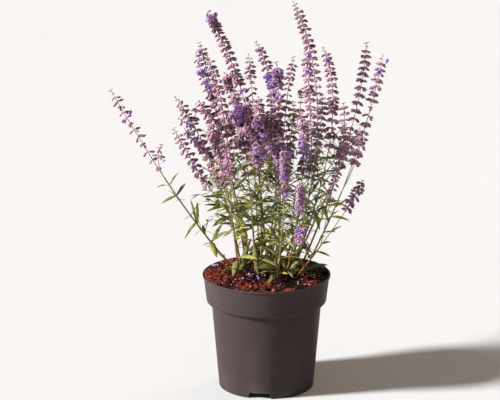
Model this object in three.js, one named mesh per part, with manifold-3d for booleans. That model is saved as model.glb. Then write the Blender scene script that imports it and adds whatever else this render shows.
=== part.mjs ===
import * as THREE from "three";
import { mergeVertices } from "three/addons/utils/BufferGeometryUtils.js";
import Module from "manifold-3d";

const wasm = await Module();
wasm.setup();

// A Russian sage in flower in a round nursery pot. Sizes are in millimetres, +Z is up and -Y is the
// front. The origin is on the ground under the middle of the whole plant, and the pot's axis stands
// beside it. Everything is modelled about the pot's axis and moved over at the end.
const POT_AXIS_X = 25;
const CLEARANCE = 0.35;

// The pot: a tapered body, a wider collar above a sloping shoulder, and a small lip
const POT_HEIGHT = 156;
const LIP_RADIUS = 86;
const COLLAR_TOP = { radius: 84.3, z: 151.3 };
const COLLAR_FOOT = { radius: 80.6, z: 120 };
const SHOULDER = { radius: 79, z: 117.4 };
const WAIST = { radius: 73.6, z: 113.4 };
const FOOT_RADIUS = 64;
const FOOT_INNER_RADIUS = 60;
const FOOT_RECESS = 8.3;
const FLOOR_TOP = 10.3;
const ROUND_STEPS = 30;

// Cuts in the pot: three notches in the foot ring and drain holes in the floor
const NOTCH = { count: 3, bottomWidth: 31.5, topWidth: 26, height: 7.8, depth: 16, firstTurn: -98.7 };
const DRAIN = { count: 5, radius: 4.5, ringRadius: 36, sides: 10 };

// The soil: a slight mound of coarse bark and peat just under the rim
const SOIL_EDGE = { radius: 81.8, z: 152.5 };
const SOIL_MOUND = 1.8;
const SOIL_RINGS = [66, 48, 31, 15];
const CHIP = { height: 1.4, shift: 1.6 };
const ROOT_Z = 144;
const HOLE_TOP_Z = 160;

// Leafy stems are four-sided and flower stems three-sided; these are the sizes from axis to corner
const STEM_CORNER = { foot: 1.9, top: 1.3 };
const RACHIS_CORNER = { foot: 1.3, tip: 0.8 };
const LEAFY_STEM_SIDES = 4;
const FLOWER_STEM_SIDES = 3;
const NODE_BAND = 2.4;
const WHORL_BAND = 2.6;
const BUD = { length: 5, corner: 1.8 };
const FORK = { band: 2.6, below: 5, apart: 2.9 };
const LONG_BARE_PIECE = 45;

// Whorls of calyces on a flower spike
const SIDE_SPIKE_SIZE = 0.92;
const WHORL = { pitch: 12, reach: 7, mouth: 7, droop: 1.6, tilt: 0.6 };
const TOWARDS_TIP = { crowding: 0.16, shrinking: 0.55 };

// Leaves: length range, width against length, least width, rib thickness, and droop against length
const LEAF = { shortest: 24, longest: 46, slimness: 0.19, narrowest: 3.2, thickness: 0.9, droop: 0.3 };
const LEAF_ROLL = 0.8;

// Pairs of leaves: the first one's height, its spread, the spacing, and the bare top of the stem
const PAIR = { first: 15, firstSpread: 8, spacing: 25, bareTop: 6 };

// What a leaf has to keep to, and the sizes, lifts and turns tried in its place where it would touch
const LEAF_LIMIT = { steepest: 1.2, squarest: 0.4, ownStem: 14, lowest: 159 };
const LEAF_TRIES = {
  scales: [1, 0.8, 0.62, 0.45],
  lifts: [0, 0.3, -0.35, 0.6, -0.8],
  turns: [0, 0.45, -0.45],
};
const BAR_LENGTH = 13;

// Seeds of the draws: one for each shoot, and what is added to it for its spray and for its leaves
const SEED = { soil: 71, first: 11, step: 37, spray: 500, leaves: 900 };
const UP = new THREE.Vector3(0, 0, 1);

// One leafy shoot each: where it leaves the soil, a point it bends through, its tip, the length of its
// flower spike, and a side spike with the part of the way up at which it forks off.
const SHOOTS = [
  {
    name: "far_left", root: [-28, 8], bend: [-110, -12, 253], tip: [-204, -30, 416], spike: 125,
    side: { at: 0.58, bend: [-142, -46, 326], tip: [-136, -58, 350], spike: 22 },
  },
  {
    name: "left_low", root: [-32, 20], bend: [-65, 2, 288], tip: [-121, -8, 402], spike: 130,
    side: { at: 0.36, bend: [-84, -36, 298], tip: [-122, -48, 369], spike: 95 },
  },
  {
    name: "left_mid", root: [-20, 28], bend: [-58, 28, 334], tip: [-89, 25, 468], spike: 145,
    side: { at: 0.44, bend: [-60, -4, 394], tip: [-79, -8, 458], spike: 118 },
  },
  {
    name: "left_high", root: [-8, 34], bend: [-20, 52, 340], tip: [-79, 50, 504], spike: 185,
    side: { at: 0.42, bend: [-41, 86, 362], tip: [-55, 94, 412], spike: 84 },
  },
  {
    name: "left_front", root: [-36, 0], bend: [-54, -48, 296], tip: [-76, -72, 379], spike: 88,
    side: { at: 0.46, bend: [-48, -86, 318], tip: [-56, -98, 366], spike: 50 },
  },
  {
    name: "centre_left", root: [-14, -6], bend: [-26, -45, 318], tip: [-44, -70, 427], spike: 125,
    side: { at: 0.42, bend: [-12, -76, 336], tip: [-15, -92, 395], spike: 72 },
  },
  {
    name: "centre_bowed", root: [-4, 12], bend: [14, 18, 343], tip: [-15, 20, 470], spike: 130,
    side: { at: 0.44, bend: [-6, -20, 360], tip: [-11, -32, 408], spike: 62 },
  },
  {
    name: "centre_back", root: [2, 42], bend: [-13, 74, 314], tip: [-24, 82, 440], spike: 120,
    side: { at: 0.45, bend: [4, 98, 336], tip: [6, 106, 384], spike: 62 },
  },
  {
    name: "centre_front", root: [6, -2], bend: [15, -12, 330], tip: [12, -25, 453], spike: 140,
    side: { at: 0.34, bend: [18, -50, 316], tip: [14, -58, 364], spike: 80 },
  },
  {
    name: "centre_right", root: [16, 30], bend: [22, 52, 320], tip: [36, 56, 442], spike: 125,
    side: { at: 0.46, bend: [42, 78, 346], tip: [46, 84, 392], spike: 62 },
  },
  {
    name: "tallest", root: [24, 12], bend: [67, 6, 353], tip: [34, 0, 527], spike: 196,
    side: { at: 0.36, bend: [56, -28, 396], tip: [49, -34, 470], spike: 114 },
  },
  {
    name: "right_inner", root: [32, 30], bend: [85, 34, 332], tip: [74, 36, 459], spike: 136,
    side: { at: 0.4, bend: [98, 2, 320], tip: [99, -4, 366], spike: 50 },
  },
  {
    name: "right_high", root: [40, 20], bend: [105, 24, 321], tip: [132, 22, 469], spike: 160,
    side: { at: 0.42, bend: [104, 56, 332], tip: [103, 62, 378], spike: 50 },
  },
  {
    name: "right_outer", root: [44, 6], bend: [113, -8, 309], tip: [151, -15, 460], spike: 150,
    side: { at: 0.42, bend: [116, -38, 322], tip: [127, -42, 370], spike: 52 },
  },
  {
    name: "right_low", root: [34, -6], bend: [97, -30, 241], tip: [126, -44, 298], spike: 48, pitch: 8,
    side: { at: 0.38, bend: [82, -60, 272], tip: [91, -66, 326], spike: 48 },
  },
  {
    name: "front_low", root: [14, -16], bend: [22, -75, 279], tip: [21, -115, 356], spike: 72,
    side: { at: 0.42, bend: [40, -106, 272], tip: [40, -122, 318], spike: 46 },
  },
  {
    name: "front_right", root: [24, -18], bend: [47, -50, 315], tip: [40, -66, 397], spike: 86,
    side: { at: 0.26, bend: [42, -78, 224], tip: [42, -88, 250], spike: 22 },
  },
  {
    name: "back_right", root: [22, 46], bend: [67, 72, 309], tip: [75, 92, 381], spike: 100,
    side: { at: 0.44, bend: [98, 82, 300], tip: [108, 90, 342], spike: 50 },
  },
  {
    name: "back_left", root: [-26, 40], bend: [-55, 60, 291], tip: [-92, 74, 378], spike: 100,
    side: { at: 0.42, bend: [-44, 96, 294], tip: [-52, 112, 342], spike: 50 },
  },
  {
    name: "rear_left", root: [-18, 48], bend: [-60, 80, 256], tip: [-100, 104, 322], spike: 78,
    side: { at: 0.5, bend: [-58, 104, 258], tip: [-72, 118, 298], spike: 38 },
  },
  {
    name: "rear_centre", root: [-8, 54], bend: [-18, 94, 290], tip: [-26, 118, 372], spike: 104,
    side: { at: 0.42, bend: [6, 114, 256], tip: [4, 120, 306], spike: 48 },
  },
  {
    name: "rear_right", root: [10, 56], bend: [30, 96, 290], tip: [38, 120, 366], spike: 102,
    side: { at: 0.42, bend: [56, 110, 256], tip: [66, 120, 304], spike: 46 },
  },
  {
    name: "rear_outer", root: [34, 42], bend: [90, 72, 262], tip: [128, 100, 330], spike: 78,
    side: { at: 0.46, bend: [94, 102, 258], tip: [104, 118, 300], spike: 40 },
  },
];

const potPlastic = new THREE.MeshStandardMaterial({ color: 0x4a3f3e, roughness: 0.45, metalness: 0 });
const darkSoil = new THREE.MeshStandardMaterial({ color: 0x4a2c22, roughness: 0.95, metalness: 0 });
const greenLeaf = new THREE.MeshStandardMaterial({ color: 0x7b8a45, roughness: 0.7, metalness: 0 });
const mauveFlower = new THREE.MeshStandardMaterial({ color: 0x95688c, roughness: 0.85, metalness: 0 });

const plant = new THREE.Group();
plant.position.set(POT_AXIS_X, 0, 0);

// Park and Miller's generator: the same seed always gives the same draws, from 0 to 1
function seededDraws(seed) {
  let state = seed;
  return () => {
    state = (state * 16807) % 2147483647;
    return state / 2147483647;
  };
}

function solidOf(geometry) {
  geometry.deleteAttribute("normal");
  geometry.deleteAttribute("uv");
  const merged = mergeVertices(geometry, 1e-4);
  const vertProperties = new Float32Array(merged.attributes.position.array);
  const triVerts = new Uint32Array(merged.index.array);
  return new wasm.Manifold(new wasm.Mesh({ numProp: 3, vertProperties, triVerts }));
}

function geometryOf(solid) {
  const mesh = solid.getMesh();
  const geometry = new THREE.BufferGeometry();
  geometry.setAttribute("position", new THREE.BufferAttribute(new Float32Array(mesh.vertProperties), 3));
  geometry.setIndex(new THREE.BufferAttribute(new Uint32Array(mesh.triVerts), 1));
  geometry.computeVertexNormals();
  return geometry;
}

function addMesh(name, geometry, material) {
  const mesh = new THREE.Mesh(geometry, material);
  mesh.name = name;
  plant.add(mesh);
}

// A profile of radius and height turned about +Z
function turned(profile) {
  const points = profile.map(([radius, z]) => new THREE.Vector2(radius, z));
  return new THREE.LatheGeometry(points, ROUND_STEPS).rotateX(Math.PI / 2);
}

function potShell() {
  const underside = [[0, FOOT_RECESS], [FOOT_INNER_RADIUS, FOOT_RECESS], [FOOT_INNER_RADIUS, 0]];
  const outside = [
    [FOOT_RADIUS, 0],
    [WAIST.radius, WAIST.z],
    [SHOULDER.radius, SHOULDER.z],
    [COLLAR_FOOT.radius, COLLAR_FOOT.z],
    [COLLAR_TOP.radius, COLLAR_TOP.z],
  ];
  const lip = [
    [LIP_RADIUS, COLLAR_TOP.z + 1.2],
    [LIP_RADIUS, POT_HEIGHT - 1.2],
    [LIP_RADIUS - 1.2, POT_HEIGHT],
    [LIP_RADIUS - 3.4, POT_HEIGHT],
  ];
  const inside = [[82, 150], [79.3, 124.8], [78.1, 121], [72.7, 115.2]];
  const floor = [[62.4, FLOOR_TOP], [0, FLOOR_TOP]];
  return solidOf(turned([...underside, ...outside, ...lip, ...inside, ...floor]));
}

// A wedge across the foot ring, wider at the ground, turned to its place
function notchCutter(turn) {
  const shape = new THREE.Shape();
  const below = 1;
  const flare = ((NOTCH.bottomWidth - NOTCH.topWidth) / 2) * (below / NOTCH.height);
  shape.moveTo(-NOTCH.bottomWidth / 2 - flare, -below);
  shape.lineTo(NOTCH.bottomWidth / 2 + flare, -below);
  shape.lineTo(NOTCH.topWidth / 2, NOTCH.height);
  shape.lineTo(-NOTCH.topWidth / 2, NOTCH.height);
  const cutter = new THREE.ExtrudeGeometry(shape, { depth: NOTCH.depth, bevelEnabled: false });
  cutter.rotateX(Math.PI / 2);
  cutter.translate(0, FOOT_RADIUS + NOTCH.depth / 3, 0);
  cutter.rotateZ(THREE.MathUtils.degToRad(turn - 90));
  return solidOf(cutter);
}

function drainCutter(turn) {
  const cutter = new THREE.CylinderGeometry(DRAIN.radius, DRAIN.radius, FLOOR_TOP, DRAIN.sides);
  cutter.rotateX(Math.PI / 2);
  cutter.translate(DRAIN.ringRadius, 0, FLOOR_TOP);
  cutter.rotateZ(turn);
  return solidOf(cutter);
}

function buildPot() {
  let pot = potShell();
  for (let index = 0; index < NOTCH.count; index += 1) {
    pot = pot.subtract(notchCutter(NOTCH.firstTurn + (360 * index) / NOTCH.count));
  }
  for (let index = 0; index < DRAIN.count; index += 1) {
    pot = pot.subtract(drainCutter((2 * Math.PI * index) / DRAIN.count));
  }
  addMesh("pot", geometryOf(pot), potPlastic);
}

// The soil's top rises towards the middle, and seeded draws raise and sink its facets like bark chips
function soilBlock() {
  const draw = seededDraws(SEED.soil);
  const fill = [[0, FLOOR_TOP + 0.4], [61.9, FLOOR_TOP + 0.4], [70.5, 104], [72.2, 115.3], [78.7, 125.1]];
  const top = SOIL_RINGS.map((radius) => {
    const rise = SOIL_MOUND * (1 - (radius / SOIL_EDGE.radius) ** 2);
    return [radius, SOIL_EDGE.z + rise];
  });
  const profile = [...fill, [SOIL_EDGE.radius, SOIL_EDGE.z], ...top, [0, SOIL_EDGE.z + SOIL_MOUND]];
  const block = turned(profile);
  block.deleteAttribute("normal");
  block.deleteAttribute("uv");
  const merged = mergeVertices(block, 1e-4);
  const position = merged.attributes.position;
  for (let index = 0; index < position.count; index += 1) {
    const radius = Math.hypot(position.getX(index), position.getY(index));
    if (position.getZ(index) < SOIL_EDGE.z || radius > SOIL_RINGS[0] + 1) continue;
    const chip = (2 * draw() - 1) * CHIP.height;
    position.setZ(index, position.getZ(index) + chip);
    if (radius < 1) continue;
    position.setX(index, position.getX(index) + (2 * draw() - 1) * CHIP.shift);
    position.setY(index, position.getY(index) + (2 * draw() - 1) * CHIP.shift);
  }
  return solidOf(merged);
}

// A route through three points, measured along its length
class Route {
  constructor(start, bend, end) {
    const middle = start.clone().add(end).multiplyScalar(0.5);
    const control = bend.clone().multiplyScalar(2).sub(middle);
    this.curve = new THREE.QuadraticBezierCurve3(start, control, end);
    this.length = this.curve.getLength();
  }

  at(distance) {
    return this.curve.getPointAt(THREE.MathUtils.clamp(distance / this.length, 0, 1));
  }

  heading(distance) {
    return this.curve.getTangentAt(THREE.MathUtils.clamp(distance / this.length, 0, 1));
  }

  // The two directions square to the route, left to right and front to back
  frame(distance) {
    const heading = this.heading(distance);
    const across = new THREE.Vector3(0, 1, 0).cross(heading).normalize();
    const depth = heading.clone().cross(across);
    return { heading, across, depth };
  }
}

// A closed skin that grows from face to face. Loops of four corners run anticlockwise as seen from
// outside, so everything raised from a face keeps facing out.
class Skin {
  constructor() {
    this.points = [];
    this.corners = [];
  }

  point(vector) {
    this.points.push(vector.x, vector.y, vector.z);
    return this.points.length / 3 - 1;
  }

  vector(index) {
    return new THREE.Vector3().fromArray(this.points, index * 3);
  }

  middle(loop) {
    const sum = new THREE.Vector3();
    loop.forEach((index) => sum.add(this.vector(index)));
    return sum.divideScalar(loop.length);
  }

  triangle(a, b, c) {
    this.corners.push(a, b, c);
  }

  face(loop) {
    for (let corner = 2; corner < loop.length; corner += 1) {
      this.triangle(loop[0], loop[corner - 1], loop[corner]);
    }
  }

  sides(lower, upper) {
    return lower.map((corner, side) => {
      const next = (side + 1) % lower.length;
      return [corner, lower[next], upper[next], upper[side]];
    });
  }

  tube(lower, upper) {
    this.sides(lower, upper).forEach((side) => this.face(side));
  }

  // Joins a loop of four to a loop of three, whose middle corner meets the whole first edge
  taper(lower, upper) {
    const [left, keel, right] = upper;
    this.triangle(lower[0], lower[1], keel);
    this.face([lower[1], lower[2], right, keel]);
    this.face([lower[2], lower[3], left, right]);
    this.face([lower[0], keel, left, lower[3]]);
  }

  // Joins two sections of a blade, split alike on both sides of its keel
  blade(lower, upper) {
    const [left, keel, right] = upper;
    this.face([lower[1], keel, left, lower[0]]);
    this.face([lower[1], lower[2], right, keel]);
    this.face([lower[2], lower[0], left, right]);
  }

  peak(loop, vector) {
    const top = this.point(vector);
    loop.forEach((corner, side) => this.triangle(corner, loop[(side + 1) % loop.length], top));
  }

  geometry() {
    const geometry = new THREE.BufferGeometry();
    geometry.setAttribute("position", new THREE.Float32BufferAttribute(this.points, 3));
    geometry.setIndex(this.corners);
    geometry.computeVertexNormals();
    return geometry;
  }
}

// Sweeps a stem of three or four sides along a route. A stop holds the distance, the size to a corner,
// the turn, and what grows from the faces below it. The stem starts from a face of another stem, whose
// lower edge its second corner meets, or from a flat end, and stops in a flat end or a peak.
function sweepStem(skin, route, sideCount, stops, loop, peak) {
  let ring = loop;
  let base = 0;
  if (loop) {
    const { across, depth } = route.frame(stops[0].distance);
    const arm = skin.middle([loop[0], loop[1]]).sub(skin.middle(loop));
    base = Math.atan2(arm.dot(depth), arm.dot(across)) - (2 * Math.PI) / sideCount - stops[0].turn;
  }
  stops.forEach((stop) => {
    const { heading, across, depth } = route.frame(stop.distance);
    const centre = route.at(stop.distance);
    const next = Array.from({ length: sideCount }, (_, corner) => {
      const angle = base + stop.turn + (2 * Math.PI * corner) / sideCount;
      const offset = across.clone().multiplyScalar(stop.corner * Math.cos(angle));
      offset.addScaledVector(depth, stop.corner * Math.sin(angle));
      return skin.point(centre.clone().add(offset));
    });
    if (!ring) skin.face([...next].reverse());
    else if (ring.length > next.length) skin.taper(ring, next);
    else if (stop.grow) skin.sides(ring, next).forEach((side, index) => stop.grow(side, index, heading));
    else skin.tube(ring, next);
    ring = next;
  });
  if (peak) skin.peak(ring, peak);
  else skin.face(ring);
}

// One cyme of calyces: a wedge that fans out from a face of the stem to a tilted, drooping mouth
function growCalyces(skin, loop, heading, reach, tilt, droop) {
  const across = skin.vector(loop[1]).sub(skin.vector(loop[0])).normalize();
  const out = across.clone().cross(heading).normalize();
  const mouth = skin.middle(loop).addScaledVector(out, reach).addScaledVector(heading, -droop);
  const edge = across.multiplyScalar(Math.cos(tilt)).addScaledVector(heading, Math.sin(tilt));
  const half = (WHORL.mouth / 2) * (0.4 + (0.6 * reach) / WHORL.reach);
  const left = skin.point(mouth.clone().addScaledVector(edge, -half));
  const right = skin.point(mouth.clone().addScaledVector(edge, half));
  const lower = [loop[0], loop[1], right, left];
  const upper = [loop[2], loop[3], left, right];
  // Each face is split along the diagonal that bulges outwards
  if (tilt > 0) [lower, upper].forEach((face) => face.unshift(face.pop()));
  skin.face(lower);
  skin.triangle(loop[1], loop[2], right);
  skin.face(upper);
  skin.triangle(loop[3], loop[0], left);
}

// The stops of a flower spike: whorls that stand closer and shorter towards the tip, then a bud
function spikeStops(skin, route, spike, pitch, size, draw) {
  const stops = [];
  const start = route.length - spike;
  const count = Math.max(2, Math.round(spike / pitch));
  for (let index = 0; index < count; index += 1) {
    const part = index / count;
    const crowded = part * (1 + TOWARDS_TIP.crowding * (1 - part));
    const distance = start + (spike - BUD.length) * crowded;
    const slim = 1 - TOWARDS_TIP.shrinking * part ** 4;
    const reach = size * WHORL.reach * slim * (0.92 + 0.16 * draw());
    const corner = RACHIS_CORNER.foot + (RACHIS_CORNER.tip - RACHIS_CORNER.foot) * part;
    const turn = (-index * Math.PI) / 3;
    const tilts = [0, 1, 2].map((face) => WHORL.tilt * ((index + face) % 2 ? 1 : -1) * (0.4 + 0.6 * draw()));
    const grow = (side, face, heading) => {
      growCalyces(skin, side, heading, reach, tilts[face], WHORL.droop);
    };
    stops.push({ distance, corner, turn });
    stops.push({ distance: distance + WHORL_BAND, corner, turn, grow });
  }
  const last = stops[stops.length - 1].turn - Math.PI / 3;
  stops.push({ distance: route.length - BUD.length, corner: RACHIS_CORNER.tip, turn: last });
  stops.push({ distance: route.length - BUD.length / 2, corner: BUD.corner * size, turn: last });
  return stops;
}

// The side spike leaves the main one where the two are far enough apart to be clear of each other
function growSideSpike(skin, loop, shoot, draw) {
  const route = shoot.sideRoute;
  const corner = RACHIS_CORNER.foot * 0.8;
  const gapAt = (distance) => {
    const onMain = shoot.mainRoute.at(shoot.forkDistance + distance);
    return onMain.distanceTo(route.at(distance));
  };
  let start = FORK.band;
  while (gapAt(start) < FORK.apart) start += 0.5;
  const whorls = spikeStops(skin, route, shoot.side.spike, WHORL.pitch, SIDE_SPIKE_SIZE, draw);
  const stops = [{ distance: start, corner, turn: 0 }];
  const bare = whorls[0].distance - start;
  if (bare > LONG_BARE_PIECE) stops.push({ distance: start + bare / 2, corner, turn: 0 });
  sweepStem(skin, route, FLOWER_STEM_SIDES, [...stops, ...whorls], loop, route.at(route.length));
}

function buildSpray(shoot) {
  const skin = new Skin();
  const draw = seededDraws(shoot.seed + SEED.spray);
  const whorls = spikeStops(skin, shoot.mainRoute, shoot.spike, shoot.pitch ?? WHORL.pitch, 1, draw);
  const { across, depth } = shoot.mainRoute.frame(shoot.forkDistance);
  const away = shoot.sideRoute.heading(0);
  const turn = Math.atan2(away.dot(depth), away.dot(across)) - Math.PI / FLOWER_STEM_SIDES;
  const corner = RACHIS_CORNER.foot;
  const growFork = (side, face) => (face === 0 ? growSideSpike(skin, side, shoot, draw) : skin.face(side));
  const stops = [
    { distance: shoot.stemLength + CLEARANCE, corner, turn },
    { distance: shoot.forkDistance - FORK.band / 2, corner, turn },
    { distance: shoot.forkDistance + FORK.band / 2, corner, turn, grow: growFork },
  ];
  const bare = whorls[0].distance - shoot.forkDistance;
  if (bare > LONG_BARE_PIECE) stops.push({ distance: shoot.forkDistance + bare / 2, corner, turn });
  whorls.forEach((stop) => {
    stop.turn += turn;
  });
  const tip = shoot.mainRoute.at(shoot.mainRoute.length);
  sweepStem(skin, shoot.mainRoute, FLOWER_STEM_SIDES, [...stops, ...whorls], null, tip);
  addMesh(`flower_spray_${shoot.name}`, skin.geometry(), mauveFlower);
}

// What the leaves have to stay clear of: round-ended bars along every stem, spike and earlier leaf
const occupied = [];

function occupyRoute(owner, route, from, to, radius) {
  const count = Math.ceil((to - from) / BAR_LENGTH);
  for (let index = 0; index < count; index += 1) {
    const low = from + ((to - from) * index) / count;
    const high = from + ((to - from) * (index + 1)) / count;
    occupied.push({ owner, start: route.at(low), end: route.at(high), radius, distance: (low + high) / 2 });
  }
}

// The shortest distance between two straight pieces
function distanceBetween(startA, endA, startB, endB) {
  const alongA = endA.clone().sub(startA);
  const alongB = endB.clone().sub(startB);
  const between = startA.clone().sub(startB);
  const a = alongA.lengthSq();
  const b = alongA.dot(alongB);
  const c = alongB.lengthSq();
  const d = alongA.dot(between);
  const e = alongB.dot(between);
  const spread = a * c - b * b;
  let s = spread > 1e-9 ? THREE.MathUtils.clamp((b * e - c * d) / spread, 0, 1) : 0;
  const t = THREE.MathUtils.clamp((b * s + e) / c, 0, 1);
  s = THREE.MathUtils.clamp((b * t - d) / a, 0, 1);
  const nearA = startA.clone().addScaledVector(alongA, s);
  const nearB = startB.clone().addScaledVector(alongB, t);
  return nearA.distanceTo(nearB);
}

// Three bars along a leaf from its foot to its tip
function leafBars(leaf) {
  const marks = [0.12, 0.45, 0.75, 1];
  const halfWidths = [0.42, 0.5, 0.36];
  return halfWidths.map((half, index) => ({
    start: leaf.at(marks[index]),
    end: leaf.at(marks[index + 1]),
    radius: half * leaf.width + 0.3,
    atFoot: index === 0,
  }));
}

function leafIsClear(leaf, shoot, distance) {
  return leafBars(leaf).every((bar) => {
    if (Math.min(bar.start.z, bar.end.z) < LEAF_LIMIT.lowest) return false;
    return occupied.every((other) => {
      const near = Math.abs(other.distance - distance) < LEAF_LIMIT.ownStem;
      if (other.owner === shoot.name && bar.atFoot && near) return true;
      if (other.owner === `${shoot.name} leaf` && other.atFoot && other.distance === distance) return true;
      const gap = distanceBetween(bar.start, bar.end, other.start, other.end);
      return gap > bar.radius + other.radius + CLEARANCE;
    });
  });
}

// A leaf's middle line leaves its face of the stem at a lift above level and droops along its length
function leafShape(face, plan, raise, turn, length) {
  const lift = Math.min(plan.lift + raise, LEAF_LIMIT.steepest);
  const level = face.out.clone().setZ(0).normalize().applyAxisAngle(UP, turn);
  const aim = level.multiplyScalar(Math.cos(lift)).setZ(Math.sin(lift));
  const side = face.edge.clone().addScaledVector(aim, -face.edge.dot(aim)).normalize();
  const droop = LEAF.droop * length * Math.cos(lift);
  const at = (part) => {
    const point = face.foot.clone().addScaledVector(aim, length * part);
    point.z -= droop * part * part;
    return point;
  };
  const width = Math.max(LEAF.narrowest, length * LEAF.slimness);
  return { at, aim, side, length, width, roll: plan.roll };
}

// The first of a row of tries that leaves its face squarely and is clear of everything, or nothing
function clearLeaf(shoot, distance, face, plan) {
  for (const scale of LEAF_TRIES.scales) {
    for (const raise of LEAF_TRIES.lifts) {
      for (const turn of LEAF_TRIES.turns) {
        const leaf = leafShape(face, plan, raise, turn, plan.length * scale);
        const square = leaf.aim.dot(face.out) > LEAF_LIMIT.squarest;
        if (square && leafIsClear(leaf, shoot, distance)) return leaf;
      }
    }
  }
  return null;
}

// Wide and narrow sections in turn give the blade its waved edge
function leafSections(leaf) {
  if (leaf.length > 37) return [[0.12, 0.35], [0.34, 1], [0.52, 0.74], [0.68, 0.8]];
  if (leaf.length > 22) return [[0.14, 0.4], [0.42, 1], [0.7, 0.62]];
  return [[0.45, 1]];
}

// The blade rolls to one side along its first half
function growLeaf(skin, loop, leaf) {
  let ring = loop;
  leafSections(leaf).forEach(([part, share]) => {
    const centre = leaf.at(part);
    const heading = leaf.at(part + 0.05).sub(leaf.at(part - 0.05)).normalize();
    const across = leaf.side.clone().addScaledVector(heading, -leaf.side.dot(heading)).normalize();
    across.applyAxisAngle(heading, leaf.roll * Math.min(1, 2 * part));
    const normal = heading.clone().cross(across);
    const half = (leaf.width / 2) * share;
    const left = centre.clone().addScaledVector(across, -half).addScaledVector(normal, LEAF.thickness / 2);
    const keel = centre.clone().addScaledVector(normal, -LEAF.thickness);
    const right = centre.clone().addScaledVector(across, half).addScaledVector(normal, LEAF.thickness / 2);
    const next = [left, keel, right].map((corner) => skin.point(corner));
    if (ring === loop) skin.taper(ring, next);
    else skin.blade(ring, next);
    ring = next;
  });
  skin.peak(ring, leaf.at(1));
}

// How far up the stem the pairs of leaves stand
function leafPairs(shoot, draw) {
  const pairs = [];
  let distance = PAIR.first + PAIR.firstSpread * draw();
  while (distance < shoot.stemLength - PAIR.bareTop) {
    pairs.push(distance);
    distance += PAIR.spacing * (0.85 + 0.3 * draw());
  }
  return pairs;
}

// A stem with opposite pairs of leaves, each turned square to the one before, and small ones between
function buildLeafyStem(shoot) {
  const skin = new Skin();
  const draw = seededDraws(shoot.seed + SEED.leaves);
  const turn = draw() * Math.PI;
  const sizeAt = (distance) => {
    const part = distance / shoot.stemLength;
    return STEM_CORNER.foot + (STEM_CORNER.top - STEM_CORNER.foot) * part;
  };
  const stops = [{ distance: 0, corner: sizeAt(0), turn }];
  leafPairs(shoot, draw).forEach((distance, pair) => {
    const part = distance / shoot.stemLength;
    const full = LEAF.shortest + (LEAF.longest - LEAF.shortest) * (1 - Math.abs(1.4 * part - 0.5));
    const plans = [0, 1, 2, 3].map((face) => {
      const large = (face + pair) % 2 === 0;
      const length = large ? full * (0.8 + 0.35 * draw()) : full * (0.35 + 0.15 * draw());
      const roll = LEAF_ROLL * (2 * draw() - 1);
      return { length, lift: 0.2 + 0.8 * draw(), roll, wanted: large || draw() < 0.3 };
    });
    const grow = (side, face, heading) => {
      const edge = skin.vector(side[1]).sub(skin.vector(side[0])).normalize();
      const out = edge.clone().cross(heading).normalize();
      const place = { foot: skin.middle(side), edge, out };
      const leaf = plans[face].wanted ? clearLeaf(shoot, distance, place, plans[face]) : null;
      if (!leaf) {
        skin.face(side);
        return;
      }
      growLeaf(skin, side, leaf);
      const owner = `${shoot.name} leaf`;
      leafBars(leaf).forEach((bar) => occupied.push({ ...bar, owner, distance }));
    };
    stops.push({ distance: distance - NODE_BAND / 2, corner: sizeAt(distance), turn });
    stops.push({ distance: distance + NODE_BAND / 2, corner: sizeAt(distance), turn, grow });
  });
  stops.push({ distance: shoot.stemLength, corner: STEM_CORNER.top, turn });
  sweepStem(skin, shoot.mainRoute, LEAFY_STEM_SIDES, stops, null, null);
  addMesh(`leafy_stem_${shoot.name}`, skin.geometry(), greenLeaf);
}

// A plain hole in the soil around the foot of a stem
function stemHole(shoot) {
  const skin = new Skin();
  const turn = seededDraws(shoot.seed + SEED.leaves)() * Math.PI;
  const corner = STEM_CORNER.foot + CLEARANCE * 2;
  const { heading } = shoot.mainRoute.frame(0);
  const below = shoot.root.clone().addScaledVector(heading, -CLEARANCE / heading.z);
  const above = shoot.root.clone().addScaledVector(heading, (HOLE_TOP_Z - ROOT_Z) / heading.z);
  const bend = below.clone().add(above).multiplyScalar(0.5);
  const route = new Route(below, bend, above);
  const stops = [0, route.length].map((distance) => ({ distance, corner, turn }));
  sweepStem(skin, route, LEAFY_STEM_SIDES, stops, null, null);
  return solidOf(skin.geometry());
}

function layOut(shoot, index) {
  const root = new THREE.Vector3(shoot.root[0], shoot.root[1], ROOT_Z);
  const mainRoute = new Route(root, new THREE.Vector3(...shoot.bend), new THREE.Vector3(...shoot.tip));
  const forkDistance = shoot.side.at * mainRoute.length;
  const fork = mainRoute.at(forkDistance);
  const sideBend = new THREE.Vector3(...shoot.side.bend);
  const sideRoute = new Route(fork, sideBend, new THREE.Vector3(...shoot.side.tip));
  const stemLength = forkDistance - FORK.below;
  const seed = SEED.first + SEED.step * index;
  return { ...shoot, seed, root, mainRoute, sideRoute, forkDistance, stemLength };
}

function occupyShoot(shoot) {
  const { mainRoute, sideRoute } = shoot;
  const spikeStart = mainRoute.length - shoot.spike - 1;
  const sideStart = sideRoute.length - shoot.side.spike - 1;
  const spikeRadius = WHORL.reach + 1;
  occupyRoute(shoot.name, mainRoute, 0, spikeStart, STEM_CORNER.foot);
  occupyRoute(`${shoot.name} spike`, mainRoute, spikeStart, mainRoute.length, spikeRadius);
  occupyRoute(`${shoot.name} side`, sideRoute, 0, sideStart, STEM_CORNER.foot);
  occupyRoute(`${shoot.name} spike`, sideRoute, sideStart, sideRoute.length, spikeRadius);
}

function buildPlant() {
  const shoots = SHOOTS.map(layOut);
  shoots.forEach(occupyShoot);
  let soil = soilBlock();
  shoots.forEach((shoot) => {
    soil = soil.subtract(stemHole(shoot));
    buildLeafyStem(shoot);
    buildSpray(shoot);
  });
  addMesh("soil", geometryOf(soil), darkSoil);
}

buildPot();
buildPlant();

export default plant;
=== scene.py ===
import math

import bmesh
import bpy
import numpy as np
from mathutils import Matrix, Vector, noise


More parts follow.
